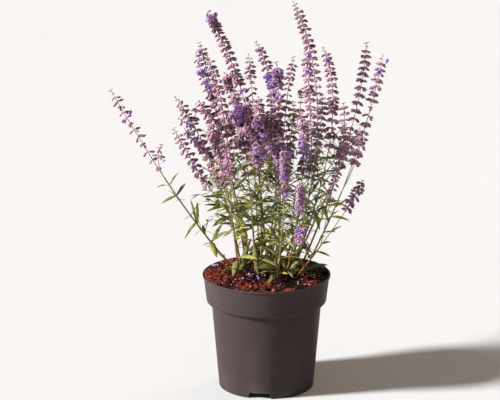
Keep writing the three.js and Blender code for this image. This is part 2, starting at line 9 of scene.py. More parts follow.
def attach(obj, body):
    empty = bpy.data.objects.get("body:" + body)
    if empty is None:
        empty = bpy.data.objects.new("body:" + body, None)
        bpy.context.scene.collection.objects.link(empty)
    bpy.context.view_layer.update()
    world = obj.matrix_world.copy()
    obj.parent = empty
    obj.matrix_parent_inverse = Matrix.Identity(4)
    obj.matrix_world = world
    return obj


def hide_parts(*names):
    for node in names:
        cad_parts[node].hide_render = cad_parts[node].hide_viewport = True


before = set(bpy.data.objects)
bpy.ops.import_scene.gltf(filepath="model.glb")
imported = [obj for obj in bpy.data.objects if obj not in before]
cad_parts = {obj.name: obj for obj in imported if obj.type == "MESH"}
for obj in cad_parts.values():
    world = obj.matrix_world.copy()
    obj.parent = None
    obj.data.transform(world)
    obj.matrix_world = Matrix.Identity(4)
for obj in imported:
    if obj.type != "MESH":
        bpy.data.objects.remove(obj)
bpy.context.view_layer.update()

# A Russian sage in flower in a round nursery pot. Everything is modelled in millimetres about the pot's
# axis, with +Z up and -Y to the front. Each finished mesh is then moved into the part's frame in metres.
POT_AXIS_X = 25
INTO_PART = Matrix.Scale(0.001, 4) @ Matrix.Translation((POT_AXIS_X, 0, 0))
FULL_TURN = 2 * math.pi

# The pot, with the same driving sizes as the solid one. A pair is a radius and a height.
POT_HEIGHT = 156
LIP_RADIUS = 86
LIP_INNER_RADIUS = 84
LIP_UNDERSIDE = (LIP_RADIUS, 153.6)
LIP_FOOT = (84.5, 152.7)
COLLAR_TOP = (84.3, 151.3)
COLLAR_FOOT = (80.6, 120)
COLLAR_UNDERSIDE = (79.8, 119.1)
BODY_TOP = (73.8, 115.8)
FOOT_RADIUS = 64
FOOT_INNER_RADIUS = 60
FOOT_RECESS = 8.3
WALL_TOP = (82.4, 150)
WALL_STEP = [(79.3, 124.8), (78.1, 121), (72.7, 115.2)]
FLOOR_EDGE = (62.4, 10.3)
FLOOR_TOP = FLOOR_EDGE[1]
ROUND_STEPS = 120
NOTCH = {"count": 3, "bottom": 31.5, "top": 26, "height": 7.8, "depth": 16, "first_turn": -98.7}
DRAIN = {"count": 5, "radius": 4.5, "ring": 36}

# The soil meets the wall at this radius and height. It mounds up in the middle and slopes up to the
# left, its crumbs are heaped on it, and what lies on it keeps within its spread. Its bed is a disc of
# rings on a foot below the soil's edge.
SOIL_EDGE = (81.8, 152.5)
SOIL_MOUND = 1.8
SOIL_SLOPE = 1.9
SOIL_HEAP = 0.9
SOIL_SPREAD = 83.6
SOIL_FOOT_Z = 138
SOIL_RINGS = 34
SOIL_ROUND_STEPS = 150
CRUMB_HEIGHT = 2.2

# What lies on the soil: how many, and their sizes. A pair of sizes is the least and the greatest. Most
# chips are weathered and have tones from 0 up, and the few fresh ones have one tone.
CHIP = {
    "count": 1150, "kinds": 8, "length": (3.4, 13.4), "width": (2.2, 5.4), "thickness": (1.4, 3.2),
    "tilt": 0.6, "weathered": 0.97, "weathered_tone": 0.96, "fresh_tone": 1.15,
}
FIBRE = {"count": 150, "length": (7, 16), "rise": 2.4, "radius": 0.3, "margin": 10}
GRAIN = {"count": 34, "size": (1, 2.4), "margin": 4}
PETAL = {"count": 26, "length": (4, 6.5), "width": (1.6, 3), "tilt": 0.35, "margin": 6}

# Petals that lie together: a corner of the place where they lie, its width and depth, and how many
FALLEN_FLOWERS = [((-72, 32), (5, 4), 5), ((-27, -26), (27, 17), 16)]

# Stems: where they start, and their radii from the soil up to the fork, and on up to the tip of a spike.
# A stem is drawn through places that stand a step apart, and its spray starts a little below the fork.
# The solid stems are square, so leaves start at the faces between their corners, in a band at each node.
ROOT_Z = 144
STEM_RADIUS = (1.55, 1.05)
FLOWER_STEM_RADIUS = (0.75, 0.42)
STEM_STEP = 7
FORK_BELOW = 5
STEM_CORNER = (1.9, 1.3)
NODE_BAND = 2.4

# Whorls of calyces on a spike: how far apart they stand, and how much closer and smaller towards the tip
WHORL = {"pitch": 8.6, "crowding": 0.46, "shrinking": 0.2, "bare_tip": 2}

# Up to which part of a spike, from 0 to 1, dense ones have more whorls, and from which part whorls are
# young, have fewer calyces together, have fewer cymes, and are single calyces without open flowers
DENSE_UP_TO = 0.95
YOUNG_FROM = 0.78
FEW_CALYCES_FROM = 0.9
FEW_CYMES_FROM = 0.92
TIP_FROM = 0.97

# The size of whorls on each kind of spike, and the short flowering branches
WHORL_SIZE = {"main": 1.04, "side": 0.98, "branchlet": 0.85}
BRANCHLET = {
    "lowest": 12, "below": 30, "first_spread": 10, "spacing": 17, "length": (16, 32),
    "steepness": 0.95, "bow": 0.08, "bare": 0.3,
}

# Calyces and open flowers, as rows of height and radius from the foot up
WIDE_CALYX = [(0, 0.28), (1.1, 0.38), (2.2, 1.25), (4.8, 1.65), (7.4, 1.85), (6.6, 0.9)]
SLIM_CALYX = [(0, 0.28), (1.2, 0.38), (2.5, 1.1), (4.9, 1.4), (7.2, 1.35), (6.8, 0.6)]
CALYX_BUD = [(0, 0.3), (1, 0.45), (2.2, 1.2), (4.6, 1.2), (6.2, 0.4)]
COROLLA = [(0, 0.5), (2.4, 0.8), (3.9, 1.4), (4.9, 2.3), (5.6, 3.7)]

# A calyx's hairs, how far up a calyx its open flower sits, and how far out of it the flower reaches
HAIR_RADIUS = 0.11
THROAT_HEIGHT = 4.4
FLOWER_REACH = 7

# Spikes that are looser or finer than the others: their shares of the common spacing and size
SPIKE_HABIT = {
    "far_left": (1.14, 1),
    "right_high": (1.14, 1),
    "right_outer": (1.14, 1),
    "front_low": (0.75, 0.78),
}
SPARSE_SHOOTS = ("far_left",)

# Leaves: least and greatest length, width against length, least width, and droop against length
LEAF = {"length": (24, 46), "slimness": 0.19, "narrowest": 3.2, "droop": 0.3}
LEAF_ROLL = 0.8
PAIR = {"first": 15, "first_spread": 8, "spacing": 25, "bare_top": 6}
LEAF_LIMIT = {"steepest": 1.2, "squarest": 0.4, "own_stem": 14, "lowest": 159}

# What is tried in turn until a leaf is clear: its share of the length, more lift, and a turn to the side
LEAF_TRIES = [
    (scale, lift, turn)
    for scale in (1, 0.8, 0.62, 0.45)
    for lift in (0, 0.3, -0.35, 0.6, -0.8)
    for turn in (0, 0.45, -0.45)
]

# Leaves stay this clear of bars with round ends, which stand for stems, spikes and other leaves. The
# bars of a leaf: from which part of it to which, and their radius against its width, with a margin.
CLEARANCE = 0.35
BAR_LENGTH = 13
SPIKE_BAR_RADIUS = 8
LEAF_BARS = [(0.12, 0.45, 0.42), (0.45, 0.75, 0.5), (0.75, 1, 0.36)]
LEAF_BAR_MARGIN = 0.3
PARALLEL = 1e-9

# Thin leafy twigs between the pairs of leaves, with pairs of narrow leaves of their own
TWIG = {"first_spread": 8, "spacing": 18, "length": (16, 38), "bow": 0.07, "radius": 0.5, "pair_spacing": 14}
TWIG_LEAF = {"length": (16, 32), "width": (3, 6.2), "narrowest": 1.6}

# How far up the main and the side stem the twigs start, and how far they go on into the stem's spike
MAIN_TWIGS = (76, 10)
SIDE_TWIGS = (8, 8)
SPARSE_TWIG_TOP = 125
GOLDEN_TURN = math.radians(137.5)

# Broad leaves that stand out in the photograph, stem by stem: the pixels of the foot and of the tip, how
# far the tip lies in front of the foot, the width, and how old the leaf is, from 0 to 1
BROAD_LEAVES = {
    "far_left": [
        ((176, 197), (161, 204), 4, 4.2, 0.1), ((176, 197), (186, 183), -6, 4.6, 0),
        ((203, 219), (190, 198), -8, 3.4, 0), ((204, 220), (197, 201), 8, 4.6, 0),
        ((202, 218), (191, 230), 12, 4.2, 0.1), ((199, 220), (184, 240), 6, 3.8, 0.2),
        ((211, 230), (202, 225), 10, 5.4, 0), ((216, 236), (217, 258), 12, 9, 0.2),
        ((217, 237), (229, 231), 14, 5, 0),
    ],
    "left_low": [
        ((227, 217), (212, 227), 16, 7.4, 0.1), ((230, 222), (214, 213), 6, 5, 0),
        ((225, 206), (206, 212), 10, 5, 0), ((221, 199), (202, 197), 8, 4.2, 0),
        ((224, 209), (203, 205), 4, 4.2, 0.1),
    ],
    "left_mid": [
        ((231, 212), (213, 205), 8, 4.6, 0), ((238, 228), (247, 245), 14, 9.5, 0.3),
        ((238, 226), (222, 238), 10, 4, 0),
    ],
    "left_front": [((240, 260), (233, 277), 16, 9.5, 0.15), ((235, 212), (246, 226), 10, 5.6, 0)],
    "centre_left": [
        ((253, 246), (258, 276), 16, 8.4, 0.1), ((251, 224), (283, 217), 14, 7, 0.1),
        ((252, 228), (232, 236), 10, 5, 0),
    ],
    "centre_back": [((261, 204), (229, 208), 16, 6, 0)],
    "centre_bowed": [((266, 240), (246, 253), 30, 8, 0), ((267, 250), (257, 239), 20, 4.4, 1)],
    "centre_front": [((272, 262), (253, 256), 18, 6, 0.9), ((274, 230), (262, 244), 14, 5.6, 0)],
    "centre_right": [((281, 252), (283, 227), 26, 6.4, 0.4), ((281, 214), (300, 222), 16, 5, 0)],
    "front_low": [((278, 268), (257, 268), 12, 10.5, 0.1), ((278, 270), (268, 285), 26, 7.5, 0.1)],
    "front_right": [((284, 270), (300, 262), 10, 11, 0.25), ((285, 268), (293, 278), 16, 6.5, 0.1)],
    "tallest": [((288, 264), (304, 244), 22, 6, 0.2), ((286, 268), (291, 255), 30, 5, 0.9)],
    "right_inner": [
        ((303, 240), (309, 258), 14, 5.6, 0), ((314, 209), (320, 231), 12, 6.4, 0),
        ((316, 200), (331, 192), 10, 4.6, 0), ((314, 206), (300, 196), 16, 4.6, 0),
    ],
    "right_high": [((328, 203), (341, 201), 8, 3.8, 0), ((318, 222), (305, 214), 12, 4.6, 0)],
    "right_outer": [
        ((332, 217), (350, 221), 8, 4.6, 0.7), ((325, 233), (336, 232), 6, 3.2, 0),
        ((336, 208), (349, 199), 4, 3.4, 0),
    ],
    "right_low": [
        ((315, 250), (331, 257), 6, 3.6, 0), ((320, 243), (331, 242), 8, 3.2, 0),
        ((326, 230), (342, 226), 8, 3.4, 0),
    ],
}
LEAF_FACING = (0, -0.75, 0.65)

# Where the photograph shows bare stems or none: the pixel at the middle, and how far from it
BARE_SPOTS = [
    (352, 172, 24), (346, 202, 18), (334, 236, 28), (228, 246, 15), (312, 236, 14), (372, 150, 24),
    (222, 258, 12), (196, 236, 14), (238, 250, 9), (212, 238, 8), (314, 252, 13), (362, 220, 14),
    (184, 214, 12), (180, 222, 10), (262, 126, 14), (184, 190, 8), (232, 232, 9), (248, 232, 7),
    (228, 214, 8), (308, 232, 8),
]

# No twig, leaf or open flower reaches further to the front or the back than this
PLANT_DEPTH = 129

# Seeds of the draws
SEED = {"first": 11, "step": 37, "leaves": 900, "finish": 1300, "branchlets": 1700, "twigs": 2100}
SOIL_SEED = 71
LITTER_SEED = 407

# The camera looks down by 15.5 degrees at the photograph's framing, from about three metres away
CAMERA_PLACE = (0.0028, -2.9666, 1.081)
CAMERA_PITCH = 15.5
CAMERA_LENS = 166.4
IMAGE_WIDTH = 500
IMAGE_HEIGHT = 400
SENSOR_WIDTH = 36
FOCAL = CAMERA_LENS / SENSOR_WIDTH * IMAGE_WIDTH
FARTHEST_SEEN = 60

# A soft key light from the left and a weak warm light from behind, under a white sky. Each has its
# strength, then in degrees its softness, its height above level and its turn from the front towards the
# left, and its colour.
SUNS = [
    ("key_light", 8.3, 8, 29, 76, (1, 1, 1)),
    ("rim_light", 1.2, 40, 22, -142, (1, 0.7, 0.5)),
]
SKY_COLOUR = (1, 1, 1, 1)
SKY_STRENGTH = 0.2

# The floor is faintly mottled between two greys, and reaches this far out
FLOOR_COLOURS = ((0.575, 0.575, 0.575), (0.595, 0.595, 0.595))
FLOOR_REACH = 12

# Open flowers, as the pixels at which the photograph shows them
OPEN_FLOWERS = [
    (205, 13), (208, 18), (197, 51), (198, 72), (208, 78), (209, 83), (234, 92), (236, 98),
    (237, 108), (235, 116), (235, 122), (258, 49), (270, 70), (266, 76), (274, 86), (279, 82),
    (281, 92), (283, 68), (303, 49), (305, 68), (324, 62), (388, 61), (380, 69), (370, 86),
    (254, 121), (262, 130), (263, 145), (267, 150), (189, 129), (194, 138), (193, 160), (294, 148),
    (298, 153), (307, 143), (300, 157), (278, 164), (290, 172), (355, 195), (307, 229), (280, 196),
    (119, 118), (130, 117), (157, 161), (188, 122), (241, 126), (270, 92), (296, 144),
]

# When the whorl nearest to a pixel is sought, this many millimetres further back count as one pixel. Of
# the whorls further back than a depth, which are hidden, a few have an open flower too.
BACK_PER_PIXEL = 25
BACK_FLOWERS = {"depth": 60, "share": 0.03}

# How the spikes look in the photograph, place by place, as the pixel at the middle and how far from it:
# with more whorls and calyces, with flowering branches below, with fewer calyces, lighter by painted light,
# darker by painted shade, still young, and most lilac
DENSE_SPOTS = [
    (212, 20, 11), (231, 78, 10), (278, 78, 9), (303, 90, 8), (242, 124, 16), (266, 128, 14),
    (214, 142, 9), (284, 165, 16), (296, 203, 16), (331, 108, 8),
]
BUSHY_SPOTS = [
    (188, 112, 6), (188, 130, 9), (194, 148, 8), (214, 142, 8), (236, 120, 8), (246, 138, 12),
    (262, 134, 10), (262, 152, 12), (284, 160, 10), (302, 150, 8), (325, 140, 6),
]
SPARSE_SPOTS = [
    (334, 184, 20), (344, 128, 8), (286, 90, 9), (250, 88, 8), (290, 126, 9), (368, 112, 8),
]
# The next two lists paint light onto the calyces and shade onto them, in turn
PAINTED_LIGHT_SPOTS = [(365, 90, 62), (190, 60, 22), (180, 130, 24), (345, 150, 30), (227, 82, 8)]
PAINTED_SHADE_SPOTS = [(294, 42, 44)]
YOUNG_SPOTS = [(298, 100, 9), (195, 50, 5), (366, 44, 5)]
LILAC_SPOTS = [
    (208, 16, 8), (278, 80, 18), (283, 172, 28), (296, 203, 22), (302, 140, 18), (236, 112, 12),
    (204, 70, 12), (262, 140, 12), (300, 235, 10),
]

# Side spikes that the photograph shows beside a main one, by the pixels of foot and tip. Each leans to
# the front and bows to the left, and whorls stand along nearly all of it.
SIDE_SPIKE = {"forward": 6, "bow": 2.5, "whorled": 0.94}
SIDE_SPIKES = {
    "left_mid": [((213, 118), (196, 51)), ((208, 126), (198, 100))],
    "left_low": [((202, 160), (184, 128))],
}

# Each shoot: its name, where it leaves the soil, bends and ends, and the length of its spike. Then the
# same for its side stem, which forks off at a share of the main one's length.
SHOOT_TABLE = [
    ("far_left", (-28, 8), (-110, -12, 253), (-204, -30, 416), 125,
     0.58, (-142, -46, 326), (-136, -58, 350), 22),
    ("left_low", (-32, 20), (-65, 2, 288), (-121, -8, 402), 130,
     0.36, (-84, -36, 298), (-122, -48, 369), 95),
    ("left_mid", (-20, 28), (-58, 28, 334), (-89, 25, 468), 145,
     0.44, (-60, -4, 394), (-79, -8, 458), 118),
    ("left_high", (-8, 34), (-20, 52, 340), (-79, 50, 504), 185,
     0.42, (-41, 86, 362), (-55, 94, 412), 84),
    ("left_front", (-36, 0), (-54, -48, 296), (-76, -72, 379), 88,
     0.46, (-48, -86, 318), (-56, -98, 366), 50),
    ("centre_left", (-14, -6), (-26, -45, 318), (-44, -70, 427), 125,
     0.42, (-12, -76, 336), (-15, -92, 395), 72),
    ("centre_bowed", (-4, 12), (14, 18, 343), (-15, 20, 470), 130,
     0.44, (-6, -20, 360), (-11, -32, 408), 62),
    ("centre_back", (2, 42), (-13, 74, 314), (-24, 82, 440), 120,
     0.45, (4, 98, 336), (6, 106, 384), 62),
    ("centre_front", (6, -2), (15, -12, 330), (12, -25, 453), 140,
     0.34, (18, -50, 316), (14, -58, 364), 80),
    ("centre_right", (16, 30), (22, 52, 320), (36, 56, 442), 125,
     0.46, (42, 78, 346), (46, 84, 392), 62),
    ("tallest", (24, 12), (67, 6, 353), (34, 0, 527), 196,
     0.36, (56, -28, 396), (49, -34, 470), 114),
    ("right_inner", (32, 30), (85, 34, 332), (74, 36, 459), 136,
     0.4, (98, 2, 320), (99, -4, 366), 50),
    ("right_high", (40, 20), (105, 24, 321), (132, 22, 469), 160,
     0.42, (104, 56, 332), (103, 62, 378), 50),
    ("right_outer", (44, 6), (113, -8, 309), (151, -15, 460), 150,
     0.42, (116, -38, 322), (127, -42, 370), 52),
    ("right_low", (34, -6), (97, -30, 241), (126, -44, 298), 48,
     0.38, (82, -60, 272), (91, -66, 326), 48),
    ("front_low", (14, -16), (22, -75, 279), (21, -115, 356), 72,
     0.42, (40, -106, 272), (40, -122, 318), 46),
    ("front_right", (24, -18), (47, -50, 315), (40, -66, 397), 86,
     0.26, (42, -78, 224), (42, -88, 250), 22),
    ("back_right", (22, 46), (67, 72, 309), (75, 92, 381), 100,
     0.44, (98, 82, 300), (108, 90, 342), 50),
    ("back_left", (-26, 40), (-55, 60, 291), (-92, 74, 378), 100,
     0.42, (-44, 96, 294), (-52, 112, 342), 50),
    ("rear_left", (-18, 48), (-60, 80, 256), (-100, 104, 322), 78,
     0.5, (-58, 104, 258), (-72, 118, 298), 38),
    ("rear_centre", (-8, 54), (-18, 94, 290), (-26, 118, 372), 104,
     0.42, (6, 114, 256), (4, 120, 306), 48),
    ("rear_right", (10, 56), (30, 96, 290), (38, 120, 366), 102,
     0.42, (56, 110, 256), (66, 120, 304), 46),
    ("rear_outer", (34, 42), (90, 72, 262), (128, 100, 330), 78,
     0.46, (94, 102, 258), (104, 118, 300), 40),
]

# Every vertex of a plant piece carries these: how far along and across its leaf or flower it lies, the
# piece's own tone, how young or old it is, and how lilac
MARKS = ("along", "across", "tone", "youth", "age", "lilac")


def seeded_draws(seed):
    """Park and Miller's generator: the same seed always gives the same draws, from 0 to 1"""
    state = seed

    def draw():
        nonlocal state
        state = state * 16807 % 2147483647
        return state / 2147483647

    return draw


def unit(vector):
    return vector / np.linalg.norm(vector)


def partway(ends, share):
    """A number at a share of the way from the first end to the last"""
    first, last = ends
    return first + (last - first) * share


def on_circle(radius, turn):
    return radius * math.cos(turn), radius * math.sin(turn)


def around(across, depth, turn):
    """The direction at a turn from one direction towards another that is square to it"""
    return across * math.cos(turn) + depth * math.sin(turn)


class Route:
    """A curve through three points, measured along its length"""

    STEPS = 200

    def __init__(self, start, bend, end):
        self.start = np.array(start, float)
        self.end = np.array(end, float)
        self.control = 2 * np.array(bend, float) - (self.start + self.end) / 2
        self.parts = np.arange(self.STEPS + 1) / self.STEPS
        marks = np.array([self.point(part) for part in self.parts])
        steps = np.linalg.norm(np.diff(marks, axis=0), axis=1)
        self.lengths = np.concatenate([[0], np.cumsum(steps)])
        self.length = self.lengths[-1]

    def point(self, part):
        rest = 1 - part
        return rest * rest * self.start + 2 * rest * part * self.control + part * part * self.end

    def part_at(self, distance):
        return float(np.interp(distance, self.lengths, self.parts))

    def at(self, distance):
        return self.point(self.part_at(distance))

    def heading(self, distance):
        part = self.part_at(distance)
        after = min(part + 0.0001, 1)
        before = max(part - 0.0001, 0)
        return unit(self.point(after) - self.point(before))

    def frame(self, distance):
        """The heading, and the directions square to it: left to right, and front to back"""
        heading = self.heading(distance)
        across = unit(np.cross((0, 1, 0), heading))
        return heading, across, np.cross(heading, across)


def branch(start, aim, out, length, bow):
    """A route of about a length that bows outwards by a share of it"""
    return Route(start, start + (aim * 0.5 + out * bow) * length, start + aim * length)


# What the camera sees where


def pixel_of(place):
    """Where the camera sees a place, in pixels from the image's upper left corner"""
    pitch = math.radians(CAMERA_PITCH)
    x, y, z = (place + (POT_AXIS_X, 0, 0)) / 1000 - CAMERA_PLACE
    away = y * math.cos(pitch) - z * math.sin(pitch)
    upward = z * math.cos(pitch) + y * math.sin(pitch)
    return np.array((IMAGE_WIDTH / 2 + FOCAL * x / away, IMAGE_HEIGHT / 2 - FOCAL * upward / away))


def seen_at(pixel, depth):
    """The place at a depth behind the pot's axis that the camera sees at a pixel"""
    pitch = math.radians(CAMERA_PITCH)
    right = (pixel[0] - IMAGE_WIDTH / 2) / FOCAL
    raised = (IMAGE_HEIGHT / 2 - pixel[1]) / FOCAL
    y = depth / 1000 - CAMERA_PLACE[1]
    z = y * (raised * math.cos(pitch) - math.sin(pitch)) / (math.cos(pitch) + raised * math.sin(pitch))
    away = y * math.cos(pitch) - z * math.sin(pitch)
    return 1000 * (np.array((right * away, y, z)) + CAMERA_PLACE) - (POT_AXIS_X, 0, 0)


def place_on(route, pixel):
    """The place on a route that is seen nearest to a pixel"""
    marks = [route.at(distance) for distance in np.linspace(0, route.length, 150)]
    return min(marks, key=lambda mark: np.linalg.norm(pixel_of(mark) - pixel))


def within(pixel, spots):
    """Whether a pixel lies in one of a list of spots"""
    return any(math.hypot(pixel[0] - x, pixel[1] - y) < reach for x, y, reach in spots)


class Shoot:
    """One leafy stem that ends in a forked flower spray"""

    def __init__(self, index, row):
        self.name, root, bend, tip, self.spike, fork_at, side_bend, side_tip, self.side_spike = row
        self.seed = SEED["first"] + SEED["step"] * index
        self.main = Route((*root, ROOT_Z), bend, tip)
        self.fork = fork_at * self.main.length
        self.side = Route(self.main.at(self.fork), side_bend, side_tip)
        self.stem_length = self.fork - FORK_BELOW
        self.pairs = []
        self.leaves = []
        self.twigs = []
        self.branchlets = []
        self.whorls = []

    def corner(self, distance):
        """How far the corners of the solid stem lie from its axis"""
        foot, top = STEM_CORNER
        return foot + (top - foot) * distance / self.stem_length


# Where the leaves stand. They keep to the solid leaves' lines: the same draws, and the same tries.


class Leaf:
    """A leaf's middle line leaves a face of the stem at a lift above level and droops along its length"""

    def __init__(self, foot, edge, out, lift, turn, length, roll):
        level = unit(np.array((out[0], out[1], 0)))
        sine, cosine = math.sin(turn), math.cos(turn)
        level = np.array((level[0] * cosine - level[1] * sine, level[0] * sine + level[1] * cosine, 0))
        self.foot = foot
        self.aim = level * math.cos(lift) + np.array((0, 0, math.sin(lift)))
        self.side = unit(edge - self.aim * np.dot(edge, self.aim))
        self.length = length
        self.width = max(LEAF["narrowest"], length * LEAF["slimness"])
        self.droop = LEAF["droop"] * length * math.cos(lift)
        self.roll = roll

    def at(self, part):
        return self.foot + self.aim * self.length * part - np.array((0, 0, self.droop * part * part))

    def bars(self):
        """The bars along the leaf from its foot to its tip: start, end and radius"""
        return [
            (self.at(start), self.at(end), share * self.width + LEAF_BAR_MARGIN)
            for start, end, share in LEAF_BARS
        ]

    def section(self, part):
        """The middle, the sideways and the upward direction at a part of the way along"""
        heading = unit(self.at(part + 0.05) - self.at(part - 0.05))
        side = unit(self.side - heading * np.dot(self.side, heading))
        turn = self.roll * min(1, 2 * part)
        side = side * math.cos(turn) + np.cross(heading, side) * math.sin(turn)
        return self.at(part), side, np.cross(heading, side)


class Crowd:
    """What a leaf has to stay clear of: round-ended bars along stems, spikes and earlier leaves"""

    def __init__(self):
        self.bars = []
        self.arrays = None

    def add(self, owner, start, end, radius, distance, at_foot=False):
        self.bars.append((owner, start, end, radius, distance, at_foot))
        self.arrays = None

    def add_route(self, owner, route, low, high, radius):
        count = math.ceil((high - low) / BAR_LENGTH)
        marks = [low + (high - low) * index / count for index in range(count + 1)]
        for start, end in zip(marks, marks[1:]):
            self.add(owner, route.at(start), route.at(end), radius, (start + end) / 2)

    def add_shoot(self, shoot):
        main, side = shoot.main, shoot.side
        spike = main.length - shoot.spike - 1
        side_spike = side.length - shoot.side_spike - 1
        self.add_route(shoot.name, main, 0, spike, STEM_CORNER[0])
        self.add_route(shoot.name + " spike", main, spike, main.length, SPIKE_BAR_RADIUS)
        self.add_route(shoot.name + " side", side, 0, side_spike, STEM_CORNER[0])
        self.add_route(shoot.name + " spike", side, side_spike, side.length, SPIKE_BAR_RADIUS)

    def gaps(self, start, end, radius):
        """The free distance from one bar to each of the others"""
        if self.arrays is None:
            starts = np.array([bar[1] for bar in self.bars])
            ends = np.array([bar[2] for bar in self.bars])
            self.arrays = starts, ends - starts, np.array([bar[3] for bar in self.bars])
        starts, others, radii = self.arrays
        own = end - start
        between = start - starts
        own_square = own @ own
        other_squares = np.einsum("ij,ij->i", others, others)
        shared = others @ own
        own_lead = between @ own
        other_lead = np.einsum("ij,ij->i", others, between)
        spread = own_square * other_squares - shared * shared
        askew = spread > PARALLEL
        own_part = (shared * other_lead - other_squares * own_lead) / np.where(askew, spread, 1)
        own_part = np.where(askew, np.clip(own_part, 0, 1), 0)
        other_part = np.clip((shared * own_part + other_lead) / other_squares, 0, 1)
        own_part = np.clip((shared * other_part - own_lead) / own_square, 0, 1)
        nearest = between + np.outer(own_part, own) - others * other_part[:, None]
        return np.linalg.norm(nearest, axis=1) - radii - radius

    def clear_of(self, leaf, shoot, distance):
        """Whether a leaf touches nothing but its own stem and the foot of the leaf across from it"""
        for index, (start, end, radius) in enumerate(leaf.bars()):
            if min(start[2], end[2]) < LEAF_LIMIT["lowest"]:
                return False
            for blocked in np.nonzero(self.gaps(start, end, radius) <= CLEARANCE)[0]:
                owner, _, _, _, other, at_foot = self.bars[blocked]
                own_stem = owner == shoot.name and index == 0
                if own_stem and abs(other - distance) < LEAF_LIMIT["own_stem"]:
                    continue
                if owner == shoot.name + " leaf" and at_foot and other == distance:
                    continue
                return False
        return True


def plan_leaves(shoot, crowd):
    """Opposite pairs of leaves, each turned square to the one before, with small ones between"""
    draw = seeded_draws(shoot.seed + SEED["leaves"])
    turn = draw() * math.pi
    distance = PAIR["first"] + PAIR["first_spread"] * draw()
    while distance < shoot.stem_length - PAIR["bare_top"]:
        shoot.pairs.append(distance)
        distance += PAIR["spacing"] * (0.85 + 0.3 * draw())
    plans = []
    for pair, distance in enumerate(shoot.pairs):
        part = distance / shoot.stem_length
        full = partway(LEAF["length"], 1 - abs(1.4 * part - 0.5))
        for face in range(4):
            large = (face + pair) % 2 == 0
            length = full * (0.8 + 0.35 * draw()) if large else full * (0.35 + 0.15 * draw())
            roll = LEAF_ROLL * (2 * draw() - 1)
            lift = 0.2 + 0.8 * draw()
            plans.append((distance, face, length, roll, lift, large or draw() < 0.3))
    for distance, face, length, roll, lift, wanted in plans:
        if wanted:
            place_leaf(shoot, crowd, turn, distance, face, length, roll, lift)


def place_leaf(shoot, crowd, turn, distance, face, length, roll, lift):
    """Adds the first of a row of tries that leaves its face squarely and is clear of everything"""
    size = shoot.corner(distance)
    corners = []
    for height in (-NODE_BAND / 2, NODE_BAND / 2):
        heading, across, depth = shoot.main.frame(distance + height)
        centre = shoot.main.at(distance + height)
        for corner in (face, face + 1):
            corners.append(centre + size * around(across, depth, turn + FULL_TURN * corner / 4))
    edge = unit(corners[1] - corners[0])
    out = unit(np.cross(edge, heading))
    foot = sum(corners) / 4
    for scale, more_lift, sway in LEAF_TRIES:
        steepness = min(lift + more_lift, LEAF_LIMIT["steepest"])
        leaf = Leaf(foot, edge, out, steepness, sway, length * scale, roll)
        if np.dot(leaf.aim, out) > LEAF_LIMIT["squarest"] and crowd.clear_of(leaf, shoot, distance):
            shoot.leaves.append(leaf)
            for index, bar in enumerate(leaf.bars()):
                crowd.add(shoot.name + " leaf", *bar, distance, index == 0)
            return


class TwigLeaf(Leaf):
    """A narrow leaf of a twig"""

    def __init__(self, foot, heading, out, lift, turn, length, width):
        super().__init__(foot, np.cross(heading, out), out + 0.5 * heading, lift, turn, length, 0)
        self.width = width


class BroadLeaf(Leaf):
    """A leaf from a foot to a tip, arched between them, with its face to the front"""

    def __init__(self, foot, tip, width, roll):
        self.foot = foot
        self.run = tip - foot
        self.length = np.linalg.norm(self.run)
        self.side = unit(np.cross(LEAF_FACING, self.run))
        self.width = width
        self.roll = roll

    def at(self, part):
        return self.foot + self.run * part + np.array((0, 0, 0.25 * self.length * part * (1 - part)))


def broad_leaf(shoot, foot_pixel, tip_pixel, forward, width, roll):
    """A leaf from the place on the stem that is seen nearest to a pixel"""
    foot = place_on(shoot.main, foot_pixel)
    return BroadLeaf(foot, seen_at(tip_pixel, foot[1] - forward), width, roll)


def plan_twigs(shoot):
    """Twigs around the stem, from above its foot up into the foot of its spikes"""
    draw = seeded_draws(shoot.seed + SEED["twigs"])
    main_low, main_over = MAIN_TWIGS
    side_low, side_over = SIDE_TWIGS
    stretches = [
        (shoot.main, main_low, shoot.main.length - shoot.spike + main_over),
        (shoot.side, side_low, shoot.side.length - shoot.side_spike + side_over),
    ]
    if shoot.name in SPARSE_SHOOTS:
        stretches = [(shoot.main, main_low, SPARSE_TWIG_TOP)]
    for route, low, high in stretches:
        distance = low + TWIG["first_spread"] * draw()
        turn = FULL_TURN * draw()
        while distance < high:
            line, leaves = plan_twig(route, distance, turn, draw)
            if abs(line.end[1]) < PLANT_DEPTH and not within(pixel_of(line.end), BARE_SPOTS):
                shoot.twigs.append((line, [leaf for leaf in leaves if abs(leaf.at(1)[1]) < PLANT_DEPTH]))
            turn += GOLDEN_TURN
            distance += TWIG["spacing"] * (0.7 + 0.6 * draw())


def plan_twig(route, distance, turn, draw):
    """A twig rises from its stem, and its leaves stand in crossed pairs with one at the tip"""
    heading, across, depth = route.frame(distance)
    out = around(across, depth, turn)
    length = partway(TWIG["length"], draw())
    aim = unit(out * (0.8 + 0.7 * draw()) + heading)
    line = branch(route.at(distance), aim, out, length, TWIG["bow"])
    leaves = []
    along = 3 + 3 * draw()
    while along < length:
        twig_heading, twig_across, twig_depth = line.frame(along)
        size = (1 - 0.45 * along / length) * (0.75 + 0.25 * draw())
        for side in (1, -1):
            leaf_out = side * (twig_across if len(leaves) % 4 < 2 else twig_depth)
            leaves.append(twig_leaf(line.at(along), twig_heading, leaf_out, size, draw))
        along += TWIG["pair_spacing"] * (0.8 + 0.4 * draw())
    leaves.append(twig_leaf(line.at(length), heading, out, 0.6, draw))
    return line, leaves


def twig_leaf(foot, heading, out, size, draw):
    """A narrow leaf that a twig or a stem sends out, with a lift and a turn of its own"""
    length = size * partway(TWIG_LEAF["length"], draw())
    width = max(TWIG_LEAF["narrowest"], size * partway(TWIG_LEAF["width"], draw()))
    return TwigLeaf(foot, heading, out, 1.4 * draw() - 0.4, 0.8 * draw() - 0.4, length, width)


# Where the whorls of calyces stand, and which of them have open flowers


